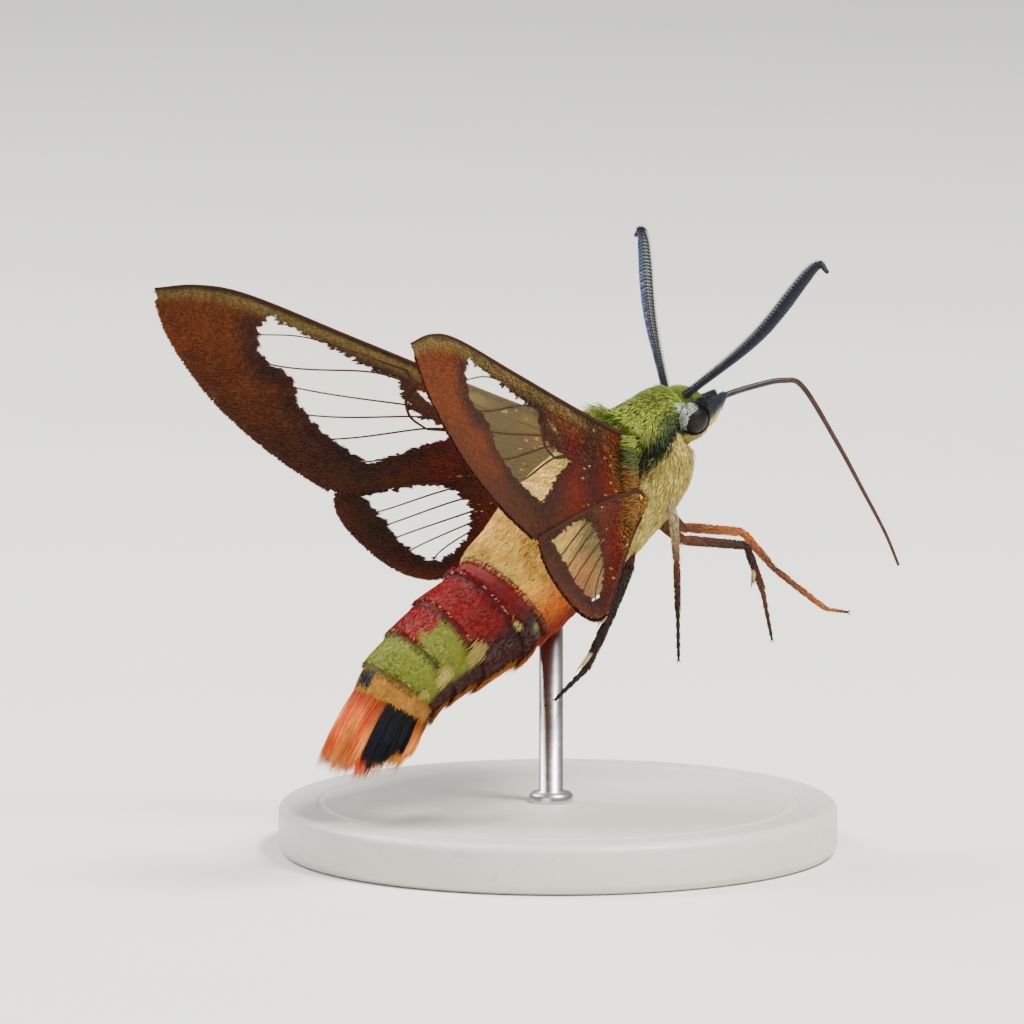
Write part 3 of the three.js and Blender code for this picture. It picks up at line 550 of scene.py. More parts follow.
coat_rings = body_coat(
    "coat_rings", scale_coat, 18200, 4.78, 10.1, keep=lambda s, a: 1.0, width=0.075,
    length=lambda s, a: 0.34, lift=lambda s, a: 0.025, splay=0.05, tip=1.1, spread=0.08)
coat_fringe = body_coat(
    "coat_fringe", wool, 4500, 4.6, 9.9, keep=lambda s, a: step(-np.sin(a), 0.68, 0.86), width=0.055,
    length=lambda s, a: 0.8, lift=lambda s, a: 0.24, droop=0.2, splay=0.3, colour=fringe_colour)

# Pale tufts on the flanks, at the rear edge of rings: edge, length, number of tufts
FLANKS = ((6.0, 0.5, 60), (7.0, 1.15, 260), (8.0, 1.15, 260), (9.0, 0.5, 60))
# Rear edges of the rings, a row of short scales: edge, colour of the pale dashes, their share
EDGES = ((6.0, "silver", 0.55), (7.0, "cream", 0.3), (8.0, "cream", 0.45), (9.0, "cream", 0.35))
EDGE_TUFTS = 360


def flank_tufts():
    along, angle, long = [], [], []
    for edge, length, count in FLANKS:
        for side in (0.0, math.pi):
            along.append(edge - 0.22 + rng.normal(0, 0.07, count))
            turn = rng.normal(-0.02, 0.055, count)
            angle.append(side + turn if side == 0 else side - turn)
            long.append(np.full(count, length))
    along, angle, long = (np.concatenate(v) for v in (along, angle, long))
    root, normal, back = skin_frame(along, angle)
    side = unit(np.cross(back, normal))
    lie = back + side * rng.normal(0, 0.13, (len(along), 1)) + np.array([0, 0, -0.15])
    tint = shade(layered(plain("cream", along.shape), ("straw", rng.uniform(0, 1, len(along)))), 0.2)
    return tufts("coat_flanks", wool, root, normal, lie, long * rng.uniform(0.5, 1.1, len(along)), 0.045,
                 0.22 * rng.uniform(0.4, 1.2, len(along)), tint, 1.4, body_uv(along, angle))


def ring_edges():
    along, angle, tint = [], [], []
    for edge, pale, share in EDGES:
        turn = rng.uniform(-0.25, math.pi + 0.25, EDGE_TUFTS)
        along.append(edge - 0.05 + rng.normal(0, 0.012, EDGE_TUFTS))
        angle.append(turn)
        dashes = ripple(skin_point(np.full(EDGE_TUFTS, edge), turn), 0.75) > 0.35 - share
        tint.append(layered(plain("black", turn.shape), (pale, dashes)))
    along, angle, tint = (np.concatenate(v) for v in (along, angle, tint))
    root, normal, back = skin_frame(along, angle)
    tint = shade(tint, 0.25)
    long = rng.uniform(0.14, 0.24, len(along))
    lie = back + rng.normal(0, 0.1, root.shape)
    return tufts("coat_edges", wool, root, normal, lie, long, 0.055, 0.05, tint, 1.0, body_uv(along, angle))


coat_flanks = flank_tufts()
coat_edges = ring_edges()

# Head: crown tuft, silver cheeks, and a dark patch behind the eye that is painted shadow
EYE = np.array([1.4, -7.0, 21.5])
EYE_RADIUS = 0.78


def clear_of_eyes(along, angle):
    place = skin_point(along, angle)
    near = np.minimum(*(np.linalg.norm(mirrored(place, side) - EYE, axis=-1) for side in (1, -1)))
    return step(near, EYE_RADIUS * 0.9, EYE_RADIUS * 1.02)


def head_colour(along, angle):
    back = np.sin(angle)
    return layered(
        markings(along, angle),
        ("olive", step(back, 0.5, 0.7)),
        ("silver", step(0.24 - np.abs(back - 0.42), 0.0, 0.12) * step(-along, 0.2, 0.5)),
        ("blue_black", step(0.3 - np.abs(back - 0.4), 0.0, 0.12) * step(-along, 1.0, 1.35)),
        # dark band at the height of the eye: dark scales in front of the eye, and painted shadow behind it
        ("black", step(0.46 - np.abs(back + 0.1), 0.0, 0.12)),
        ("grey_blue", step(-along, 1.62, 1.85) * step(back, -0.2, 0.1)),
        ("cream", step(-0.52 - back, 0.0, 0.12)))


def crown(along, angle):
    """1 on the head's crown and throat, where its hair is long."""
    back = np.sin(angle)
    return (step(back, 0.4, 0.9) + step(-back, 0.5, 0.8)) * step(along, -1.9, -1.4)


coat_head = body_coat(
    "coat_head", wool, 12000, -1.97, -0.1, keep=clear_of_eyes, width=0.05,
    length=lambda s, a: 0.3 + 0.4 * crown(s, a), lift=lambda s, a: 0.06 + 0.12 * crown(s, a),
    colour=head_colour)

# Tail brush: long hair that fans out behind the last ring
TAIL_CENTRE = np.array([0, 9.8, 7.8])
TAIL_BACK, TAIL_UP = unit(np.array([0, 0.5, -0.866])), unit(np.array([0, 0.866, 0.5]))
ACROSS = np.array([1.0, 0, 0])
TAIL_WIDE, TAIL_HIGH = 2.05, 2.0  # half sizes of the brush's root
TAIL_FLARE, TAIL_DROP = 0.2, 0.05
# Length of the hair by its root's height in the brush
TAIL_REACH = np.array([[-1.75, 1.9], [-1.15, 2.7], [-0.65, 3.3], [0.3, 3.9], [0.85, 4.2], [1.4, 4.1],
                       [1.9, 3.5]])
BLACK_REACH = np.array([[-0.8, 1.7], [-0.2, 2.5], [0.3, 3.1], [0.7, 3.7], [1.15, 3.9]])
TAIL_SPLIT = 1.15


def tail_brush(name, count, inside, colour, tip_colour, clumps, node, other=None, reach=TAIL_REACH):
    """One tuft of the brush: inside says which roots belong to it, by their place across and up."""
    across = rng.uniform(-TAIL_WIDE, TAIL_WIDE, 12 * count)
    up = rng.uniform(-1.95, TAIL_HIGH, 12 * count)
    fits = ((across / TAIL_WIDE) ** 2 + (up / TAIL_HIGH) ** 2 < 1) & inside(across, up)
    across, up = across[fits][:count], up[fits][:count]
    found, places = len(across), np.stack([across, up], -1)[:count]
    seeds = places[:clumps]
    clump = np.argmin(np.linalg.norm(places[:, None] - seeds[None], axis=-1), axis=1)
    bulge = np.sqrt(np.maximum(0, 1 - (across / TAIL_WIDE) ** 2 - (up / TAIL_HIGH) ** 2) + 0.05)
    depth = rng.uniform(-0.9, 0.7, found) * bulge
    root = TAIL_CENTRE + across[:, None] * ACROSS + up[:, None] * TAIL_UP + depth[:, None] * TAIL_BACK
    long = np.interp(up, reach[:, 0], reach[:, 1]) * rng.uniform(0.7, 1.0, found) - depth * 0.6
    long = long * rng.uniform(0.8, 1.08, len(seeds))[clump]
    flare = np.stack([TAIL_FLARE * across, np.where(up > 0, TAIL_FLARE, TAIL_DROP) * up], -1)
    flare = flare + (seeds[clump] - places) * 0.7 / long[:, None]
    flare = flare + rng.normal(0, 0.06, (len(seeds), 2))[clump] + rng.normal(0, 0.035, (found, 2))
    lie = TAIL_BACK + flare[:, :1] * ACROSS + flare[:, 1:] * TAIL_UP
    outward = unit(across[:, None] * ACROSS + up[:, None] * TAIL_UP + 1e-3)
    tint, tips = plain(colour, (found,)), plain(tip_colour, (found,))
    if other is not None:
        mixed = np.clip(rng.uniform(-0.3, 1.1, len(seeds))[clump] + rng.normal(0, 0.2, found), 0, 1)
        tint, tips = layered(tint, (other, 0.7 * mixed)), layered(tips, (other, mixed))
    tint, tips = shade(tint, 0.18), shade(tips, 0.15)
    uv = body_uv(TAIL_AT + 0.9 * (1 - np.hypot(across / TAIL_WIDE, up / TAIL_HIGH)), np.arctan2(up, across))
    width = 0.065 * rng.uniform(0.6, 1.2, found)
    piece = tufts(name, wool, root, outward, lie, long, width, 0.12, tint, tips, uv, 3, sink=0.05)
    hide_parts(node)
    return piece


def is_black(across, up):
    return (np.abs(across) > TAIL_SPLIT + 0.12 * np.sin(3 * up)) & (up < 1.15) & (up > -0.75)


# painted glow: pale, bright orange at the tips of the orange hair, where light shines through it; the deeper
# orange at the roots is the hair's own colour
centre_brush = tail_brush("tail_centre_brush", 5600, lambda x, u: ~is_black(x, u) & (u > -0.2),
                          "orange_root", "orange_glow", 60, "tail_centre", "coral")
under_brush = tail_brush("tail_under_brush", 3000, lambda x, u: ~is_black(x, u) & (u <= -0.2),
                         "orange_root", "orange_glow", 36, "tail_under", "amber")
left_brush = tail_brush("tail_left_brush", 2000, lambda x, u: is_black(x, u) & (x > 0),
                        "black", "blue_black", 22, "tail_left", reach=BLACK_REACH)
right_brush = tail_brush("tail_right_brush", 2000, lambda x, u: is_black(x, u) & (x < 0),
                         "black", "blue_black", 22, "tail_right", reach=BLACK_REACH)


# Eyes
def eye_material():
    shader = Shader("compound_eye")
    cells, noise = shader.cells(12000.0), shader.noise(1500.0)
    colour = shader.mix(shader.ramp(noise, 0.35, 0.7), (0.004, 0.003, 0.003), (0.018, 0.011, 0.008))
    shader.link(colour, "Base Color")
    shader.rough(cells, 0.3, 0.5, 0.0, 0.7)
    shader.set(Specular_IOR_Level=0.16)
    shader.bump(cells, 0.00001, 0.35)
    return shader.material


def eye(side, name, material):
    a, b = np.meshgrid(np.linspace(0.02, math.pi - 0.02, 49), angles(72), indexing="ij")
    ball = np.stack([np.cos(a) * 0.94, np.sin(a) * np.cos(b), np.sin(a) * np.sin(b)], -1).reshape(-1, 3)
    points = mirrored(EYE, side) + ball * EYE_RADIUS
    piece = new_mesh(f"eye_{name}_lens", points, grid_faces(*a.shape, True), material)
    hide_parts(f"eye_{name}")


def eye_ring(side, name):
    """Small scales round the eye that lie back over its rim: silver behind and above, dark in front."""
    tries = 1900
    tilt = np.radians(rng.uniform(38, 92, tries))
    turn = rng.uniform(0, TURN, tries)  # 0 is in front of the eye and a quarter turn is above it
    keep = tilt > np.radians(68 - 24 * step(np.sin(turn - 0.7), 0.0, 0.8))
    tilt, turn = tilt[keep], turn[keep]
    normals = np.stack([np.cos(tilt), -np.sin(tilt) * np.cos(turn), np.sin(tilt) * np.sin(turn)], -1)
    roots, normals = mirrored(EYE + normals * EYE_RADIUS, side), mirrored(normals, side)
    lie = np.array([0.25 * side, 0.9, -0.35]) + rng.normal(0, 0.15, roots.shape)
    silver = step(np.sin(turn - 1.0), 0.25, 0.6) * (rng.uniform(0, 1, len(tilt)) < 0.8)
    tint = shade(layered(plain("black", turn.shape), ("silver", silver)), 0.3)
    long = rng.uniform(0.18, 0.36, len(roots))
    piece = tufts(f"eye_{name}_scales", wool, roots, normals, lie, long, 0.045, 0.03, tint, 1.15,
                  unwrapped(turn / TURN, (tilt - 0.66) / 0.95), sink=0.02)


eye_shader = eye_material()
for side, name in SIDES:
    eye(side, name, eye_shader)
for side, name in SIDES:
    eye_ring(side, name)

# Palps: two scaled, pointed feelers beside the mouth
PALP = np.array([[0.72, -7.4, 20.9], [0.74, -8.1, 21.35], [0.68, -8.62, 21.88], [0.5, -9.25, 22.36]])
PALP_HEIGHTS = [0.32, 0.42, 0.36, 0.09]
PALP_TUFTS, PALP_RINGS, PALP_SIDES = 1300, 30, 24


def palp(side, name):
    shares = np.linspace(0, 1, PALP_RINGS)
    path = even_spline(mirrored(PALP, side), shares)
    heights = np.interp(shares, np.linspace(0, 1, len(PALP)), PALP_HEIGHTS)
    points, faces, ring = tube(path, heights, PALP_SIDES, 0.85)
    inward = (points - path[ring])[:, 1] / heights[ring]
    tint = layered(plain("grey_blue", ring.shape),
                   ("blue_black", step(inward + 0.9 * shares[ring], 0.1, 0.7)),
                   ("cream", step(-inward - 1.1 * (shares[ring] - 0.45), 0.1, 0.5)))
    core = new_mesh(f"palp_{name}_skin", points, faces, skin_material(f"palp_skin_{name}"), tint)
    pick = rng.integers(0, len(points) - PALP_SIDES, PALP_TUFTS)
    outward = unit(points[pick] - path[ring[pick]])
    ahead = np.minimum(ring[pick] + 1, PALP_RINGS - 1)
    lie = unit(path[ahead] - path[ahead - 1])
    spread = rng.normal(0, 0.02, (PALP_TUFTS, 3))
    uv = unwrapped((pick % PALP_SIDES) / PALP_SIDES, ring[pick] / PALP_RINGS)
    long = 0.42 * rng.uniform(0.6, 1.1, PALP_TUFTS)
    hair = tufts(f"palp_{name}_coat", wool, points[pick] + spread, outward, lie, long, 0.06, 0.05,
                 shade(tint[pick], 0.2), tint[pick] * 1.2, uv)
    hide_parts(f"palp_{name}")


for side, name in SIDES:
    palp(side, name)

# Feelers: a shaft of close rings with short bristles along its inner side
ANTENNA_ROOT, ANTENNA_TIP = np.array([0.85, -6.75, 22.5]), np.array([8.85, -10.0, 30.05])
ANTENNA_BOW, ANTENNA_HOOK = 0.55, 0.75
ANTENNA_RADII = [0.15, 0.17, 0.21, 0.27, 0.32, 0.34, 0.29, 0.1]
ANTENNA_RINGS, PER_RING = 58, 6
BRISTLES = 7  # a ring


def antenna_comb(name, path, radii, inwards):
    """Short bristles that fan out on the inner side of a feeler."""
    at = np.repeat(np.arange(2 * PER_RING, len(path) - 3 * PER_RING, PER_RING), BRISTLES)
    tangent = unit(np.gradient(path, axis=0))[at]
    spin = np.tile(np.linspace(-1.1, 1.1, BRISTLES), len(at) // BRISTLES)
    normal = unit(inwards * np.cos(spin)[:, None] + np.cross(tangent, inwards) * np.sin(spin)[:, None])
    roots = path[at] + normal * radii[at][:, None] * 0.9
    uv = unwrapped((spin + 1.1) / 2.2, at / (len(path) - 1))
    return tufts(f"antenna_{name}_comb", wool, roots, tangent, normal + 0.35 * tangent, 0.24, 0.07, 0.02,
                 shade(plain("black", at.shape), 0.2), 1.0, uv, sink=0.0)


def antenna(side, name, material):
    outwards = unit(np.array([ANTENNA_TIP[2] - ANTENNA_ROOT[2], 0, ANTENNA_ROOT[0] - ANTENNA_TIP[0]]))
    chord = ANTENNA_TIP - ANTENNA_ROOT
    line = [ANTENNA_ROOT - 0.02 * chord, ANTENNA_ROOT + 0.5 * chord + outwards * ANTENNA_BOW,
            ANTENNA_ROOT + 0.93 * chord, ANTENNA_TIP + outwards * ANTENNA_HOOK]
    outwards = mirrored(outwards, side)
    shares = np.linspace(0, 1, ANTENNA_RINGS * PER_RING + 1)
    path = mirrored(even_spline(line, shares), side)
    within = (np.arange(len(shares)) % PER_RING) / PER_RING
    notch = 1 - 0.16 * bell(within, 0.0, 0.16) + 0.05 * within
    radii = np.interp(shares, np.linspace(0, 1, len(ANTENNA_RADII)), ANTENNA_RADII) * notch
    radii[-1] = 0.02
    points, faces, ring = tube(path, radii, 16)
    facing, at = unit(points - path[ring]), shares[ring]
    inner = np.sum(facing * outwards, -1)
    pale = step(-inner, -0.1, 0.5) * bell(within[ring], 0.08, 0.12) * step(-at, -0.93, -0.85)
    # painted sheen: the light falls on the left feeler, so only it gets much of the painted blue reflection
    sheen = 0.75 if side > 0 else 0.02  # the light falls on the left feeler
    rear = sheen * step(facing[:, 1] + 0.6 * inner, 0.1, 0.7) * step(-at, -0.97, -0.9)
    painted_glints = step(ripple(points, 0.16), 0.35, 0.6) * step(0.75 - np.abs(at - 0.35), 0.25, 0.45)
    # painted reflection: a blue sheen on the rear face of the feeler, with painted silver glints along its
    # middle; the pale rings are the feeler's own colour
    tint = layered(plain("blue_black", ring.shape), ("silver", 0.95 * pale), ("sheen_blue", rear),
                   ("silver", rear * painted_glints))
    shaft = new_mesh(f"antenna_{name}_shaft", points, faces, material, tint)
    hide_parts(f"antenna_{name}")
    for piece in (shaft, antenna_comb(name, path, radii, -outwards)):
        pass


def dusted(low, high, dust):
    """A piece's tint with a little of another colour where the noise is high."""
    return lambda shader, noise: shader.mix(shader.ramp(noise, low, high, 0.0, 0.3), shader.tint(), dust)


antenna_shader = fine_material("feeler", 2500.0, dusted(0.45, 0.75, (0.008, 0.012, 0.022)), (0.4, 0.6), 0.25,
                               (0.00002, 0.5))
for side, name in SIDES:
    antenna(side, name, antenna_shader)

# Tongue
TONGUE = [[0, -8.0, 21.6], [0, -9.6, 22.3], [0, -11.4, 22.7], [0, -13.1, 22.88], [0, -14.3, 22.45],
          [0, -16.28, 19.56], [0, -17.9, 16.9], [0, -19.2, 14.7], [0, -20, 13]]


def tongue():
    material = fine_material("tongue", 3000.0, dusted(0.4, 0.7, (0.1, 0.05, 0.03)), (0.3, 0.48), 0.25,
                             (0.00001, 0.5))
    shares = np.linspace(0, 1, 640)
    path = even_spline(TONGUE, shares)
    radii = (0.17 - 0.09 * shares**1.3) * (1 + 0.035 * np.sin(shares * 700))
    points, faces, ring = tube(path, radii, 14)
    seam = 1 - 0.16 * bell(np.abs((points - path[ring])[:, 0]) / radii[ring], 0.0, 0.16)
    points = path[ring] + (points - path[ring]) * seam[:, None]
    tint = layered(plain("tongue_black", ring.shape), ("tongue_brown", step(shares[ring], 0.18, 0.6)))
    piece = new_mesh("proboscis", points, faces, material, tint)
    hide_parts("proboscis_base", "proboscis_middle", "proboscis_tip")


tongue()

# Wings: both of a side lie in one plane, with places in it given along the wing and back across it.
# Each has its edges, the height of its crown, its place under the plane, a place inside it for telling
# which way is out, the start of its thick edge vein, and its windows, spots, veins and stems.
WING_ROOT = np.array([2.6, -2.83, 20.49])
WING_ALONG = unit(np.array([0.462, 0.824, 0.328]))
WING_CHORD = unit(np.array([0.357, 0.166, -0.919]))
WING_NORMAL = unit(np.cross(WING_ALONG, WING_CHORD))
MEMBRANE = 0.06
FOREWING = {
    "lead": [[-1.6, -0.3], [4.4, -0.43], [12, -0.9], [18, -1.28], [20.6, -0.9], [22.6, 0]],
    "margin": [[22.6, 0], [20.9, 2.25], [17.6, 4.7], [13.9, 6.3], [10.7, 7.15]],
    "trail": [[-1.6, 2.3], [0.8, 2.5], [5.4, 4.5], [10.7, 7.15]],
    "camber": 0.5, "lower": 0.0, "middle": [9.0, 3.0], "edge_start": [0.6, -0.35],
    "grid": (176, 84), "scales": 8800,
    "window": [[16.7, -0.7], [17.07, 0.11], [16.65, 1.26], [15.9, 1.77], [14.84, 1.87], [14.2, 2.61],
               [13.87, 3.25], [12.96, 3.85], [12.1, 4.32], [11.1, 4.63], [10.03, 4.93], [9.54, 5.12],
               [9.0, 4.71], [7.25, 3.16], [5.64, 1.9], [7.7, 1.62], [8.5, 1.33], [9.08, 0.88],
               [9.47, 0.25], [11.1, 0.14], [14.3, -0.37]],
    "spots": [((7.9, 0.66), (0.62, 0.17)), ((7.06, 1.07), (0.5, 0.13))],
    "veins": [[[16.95, 0.45], [14.27, -0.25], [9.3, -0.3]],
              [[21.6, 1.5], [15.98, 1.74], [11.04, 0.38], [8.6, 0.3]],
              [[20.1, 2.9], [14.36, 2.45], [9.0, 1.39], [6.0, 0.8]],
              [[19.2, 3.7], [13.82, 3.73], [8.37, 1.84], [6.6, 1.3]],
              [[17.3, 4.9], [12.57, 4.75], [7.46, 2.19], [5.6, 1.75]],
              [[15.1, 6.0], [10.5, 5.36], [7.23, 3.47], [4.0, 1.9]],
              [[12.6, 6.7], [9.6, 5.5], [5.8, 3.2], [1.0, 1.6]]],
    "stems": [[[-1.4, 0.5], [4.5, 0.25], [8.6, 0.1], [9.3, -0.3]],
              [[-1.4, 1.4], [3.0, 1.5], [5.6, 1.75], [7.4, 2.2]],
              [[8.6, 0.3], [8.9, 1.0], [8.4, 1.85], [7.4, 2.2]]],
}
HINDWING = {
    "lead": [[-1.2, 2.4], [0.6, 2.5], [5.3, 4.5], [10.6, 7.1]],
    "margin": [[10.6, 7.1], [9.9, 8.3], [8.2, 9.35], [6.4, 9.95], [4.8, 9.9], [3.7, 9.3]],
    "trail": [[-0.6, 3.3], [0.3, 4.1], [1.9, 6.4], [3.7, 9.3]],
    "camber": 0.2, "lower": 0.13, "middle": [9.0, 6.0], "edge_start": [-0.5, 2.44],
    "grid": (92, 68), "scales": 4400,
    "window": [[9.27, 6.9], [7.85, 5.95], [6.5, 5.3], [5.47, 4.9], [4.74, 5.0], [3.86, 5.5], [3.5, 6.3],
               [3.45, 7.0], [3.75, 8.0], [4.3, 8.8], [5.0, 9.05], [5.85, 8.95], [6.9, 8.5], [7.75, 7.8],
               [8.6, 7.35]],
    "spots": [],
    "veins": [[[9.6, 8.3], [8.05, 7.29], [5.0, 4.87], [2.6, 3.9]],
              [[8.7, 8.9], [7.45, 7.81], [4.66, 5.42], [2.6, 4.2]],
              [[7.7, 9.4], [6.85, 8.33], [4.1, 5.96], [2.3, 4.5]],
              [[6.5, 9.8], [5.86, 8.59], [3.62, 6.29], [1.6, 4.6]],
              [[4.9, 9.7], [4.6, 8.3], [3.1, 6.3], [0.8, 4.3]]],
    "stems": [[[-0.5, 3.35], [1.0, 3.6], [2.6, 3.9], [5.0, 4.87]]],
}


def wing_grid(wing, columns, rows):
    """Places in the wing's plane, root to tip and leading to trailing edge, and the crown's height."""
    out, back = np.linspace(0, 1, columns), np.linspace(0, 1, rows)
    lead, trail, margin = (even_spline(wing[key], shares)
                           for key, shares in (("lead", out), ("trail", out), ("margin", back)))
    o, b = out[:, None, None], back[None, :, None]
    tip = np.array(wing["lead"][-1]) * (1 - b) + np.array(wing["trail"][-1]) * b
    sheet = lead[:, None] * (1 - b) + trail[:, None] * b + (margin[None] - tip) * o
    crown = wing["camber"] * np.sin(math.pi * b[..., 0]) * np.sin(math.pi * o[..., 0]) - wing["lower"]
    return sheet, crown


def in_plane(steps, side):
    """Steps along and across the wing as directions in space."""
    return mirrored(steps[..., :1] * WING_ALONG + steps[..., 1:] * WING_CHORD, side)


def to_space(places, height, side):
    """Wing places to space, with a height above the wing's plane."""
    return in_plane(places, side) + mirrored(WING_ROOT + np.asarray(height)[..., None] * WING_NORMAL, side)


def inside_distance(places, outline):
    """Distance of wing places from an outline, above 0 inside it."""
    nearest = np.full(places.shape[:-1], 1e9)
    inside = np.zeros(places.shape[:-1], bool)
    for a, b in zip(np.array(outline), np.roll(outline, -1, axis=0)):
        edge = b - a
        share = np.clip(((places - a) @ edge) / (edge @ edge), 0, 1)
        nearest = np.minimum(nearest, np.linalg.norm(places - a - share[..., None] * edge, axis=-1))
        spans = (a[1] > places[..., 1]) != (b[1] > places[..., 1])
        inside ^= spans & (places[..., 0] < a[0] + (places[..., 1] - a[1]) / edge[1] * edge[0])
    return np.where(inside, nearest, -nearest)


def clear_share(wing, places):
    """1 in the clear windows of the wing and 0 where scales cover it, with a toothed edge."""
    teeth = 0.09 * ripple(places, 0.7) + 0.05 * ripple(places, 0.3)
    clear = step(inside_distance(places, wing["window"]) + teeth, -0.03, 0.06)
    for middle, (long, wide) in wing["spots"]:
        a, t = np.moveaxis(places - middle, -1, 0)
        clear = np.maximum(clear, step(1 - np.hypot(a / long, (t + 0.35 * a) / wide) + teeth, 0.0, 0.2))
    return clear


def wing_colour(wing, places):
    a, t = places[..., 0], places[..., 1]
    uneven = 0.6 * ripple(places, 6.0) + 0.4 * ripple(places, 2.0)
    near_window = step(inside_distance(places, wing["window"]), -1.5, -0.2)
    sparkle = step(ripple(places, 0.55), 0.86, 0.95) * step(ripple(places, 2.3), 0.1, 0.5)
    sparkle *= step(6.0 - a, 0.0, 2.0)
    if wing is FOREWING:
        behind = t - np.interp(a, *np.transpose(wing["lead"]))
        fields = [("wing_dark", 0.7 * step(t + 0.4 * uneven, 2.2, 6.0)),
                  ("wing_lead", 0.85 * step(0.95 - behind, 0.0, 0.6) * step(a, 2.0, 5.0)),
                  ("wing_dark", 0.7 * step(0.2 - behind, 0.0, 0.1)),
                  ("wing_red", 0.9 * step(8.5 - a, 0.0, 3.5) * step(behind, 0.9, 1.6)),
                  ("wing_dark", 0.7 * step(1.6 - np.abs(a - 4.0), 0.0, 1.2)),
                  ("brown_gold", 0.85 * step(2.6 - a, 0.0, 1.6) * step(t, 0.2, 1.5))]
    else:
        fields = [("wing_dark", 0.7 * step(a + 0.5 * uneven, 5.0, 8.5)),
                  ("wing_red", 0.9 * step(5.0 - a, 0.0, 3.0)),
                  ("brown_gold", 0.85 * step(2.2 - a, 0.0, 1.6))]
    return layered(plain("wing_border", a.shape), ("wing_dark", 0.9 * near_window + 0.2 * uneven), *fields,
                   ("tan_gold", 0.4 * sparkle))


def wing_material():
    """Clear membrane in the windows and flat scales elsewhere."""
    shader = Shader("wing_membrane")
    clear, cells = shader.attribute("clear"), shader.cells(5200.0)
    scaled = shader.times(shader.tint(), shader.ramp(cells, 0.0, 0.8, 1.25, 0.6))
    window = shader.mix(shader.noise(900.0), (0.4, 0.38, 0.16), (0.55, 0.5, 0.26))
    shader.link(shader.mix(shader.ramp(clear, 0.75, 1.0), scaled, window), "Base Color")
    shader.link(shader.ramp(clear, 0.0, 1.0, 1.0, 0.05), "Alpha")
    shader.rough(clear, 0.55, 0.16, 0.0, 1.0)
    shader.set(Specular_IOR_Level=0.12)
    shader.bump(cells, 0.00003, 0.6)
    return shader.material


def vein_colour(shader, noise):
    return shader.mix(noise, (0.014, 0.006, 0.004), (0.045, 0.017, 0.01))


def crown_at(wing, places):
    """Height of the wing's crown above its plane at places, read off a coarse grid."""
    sheet, crown = wing_grid(wing, 45, 31)
    near = np.argmin(np.linalg.norm(places[:, None] - sheet.reshape(-1, 2)[None], axis=-1), axis=1)
    return crown.ravel()[near]


def wing_veins(name, wing, side, material):
    """Raised veins: fine branches out to the margin, thicker stems, and the thick leading edge."""
    lines = [(line, 0.035, 0.055) for line in wing["veins"]] + [(line, 0.09, 0.06) for line in wing["stems"]]
    lines += [([wing["edge_start"], *wing["lead"][1:]], 0.15, 0.06), (wing["trail"][1:], 0.06, 0.05)]
    shares, parts = np.linspace(0, 1, 60), []
    for line, first, last in lines:
        places = even_spline(line, shares)
        path = to_space(places, smooth(crown_at(wing, places), 5), side)
        points, faces, _ = tube(path, first + (last - first) * shares, 6)
        parts.append((points, faces, np.zeros_like(points)))
    points, faces, _ = joined(parts)
    return new_mesh(name, points, faces, material)


def wing_uv(places, height, shift=0.0):
    a, t = places[:, 0], places[:, 1]
    return np.stack([0.02 + 0.96 * (a + 2) / 25, 0.02 + height * (t + 1.5) / 12 + shift], -1)


def wing_scales(name, wing, side, material):
    """Scales on both faces of the wing where it isn't clear."""
    columns, rows = wing["grid"]
    tries = 6 * wing["scales"]
    out, back = rng.uniform(0.02, 0.995, tries), rng.uniform(0.01, 0.99, tries)
    sheet, crown = wing_grid(wing, columns, rows)
    i, j = (out * (columns - 1)).astype(int), (back * (rows - 1)).astype(int)
    next_out, next_back = sheet[np.minimum(i + 1, columns - 1), j], sheet[i, np.minimum(j + 1, rows - 1)]
    last_out, last_back = sheet[np.maximum(i - 1, 0), j], sheet[i, np.maximum(j - 1, 0)]
    places = sheet[i, j] + (next_out - sheet[i, j]) * rng.uniform(0, 1, (tries, 1))
    places = places + (next_back - sheet[i, j]) * rng.uniform(0, 1, (tries, 1))
    cell = np.abs(np.cross(next_out - last_out, next_back - last_back))
    keep = (rng.uniform(0, np.percentile(cell, 99), tries) < cell) & (clear_share(wing, places) < 0.5)
    places, heights = places[keep][:wing["scales"]], crown[i, j][keep][:wing["scales"]]
    face = rng.choice([-1.0, 1.0], len(places))
    roots = to_space(places, heights + face * MEMBRANE / 2, side)
    lie = unit(in_plane(np.array([0.9, 0.35]), side)) + rng.normal(0, 0.13, roots.shape)
    base = step(3.2 - places[:, 0], 0.0, 3.5)
    tint = shade(wing_colour(wing, places), 0.15)
    long = (0.28 + 0.3 * base) * rng.uniform(0.7, 1.2, len(places))
    normals, uv = mirrored(WING_NORMAL, side) * face[:, None], wing_uv(places, 0.47, 0.48 * (face > 0))
    return tufts(name, material, roots, normals, lie, long, 0.12, 0.015 + 0.04 * base, tint, 1.12, uv,
                 sink=0.02, thick=0.14)


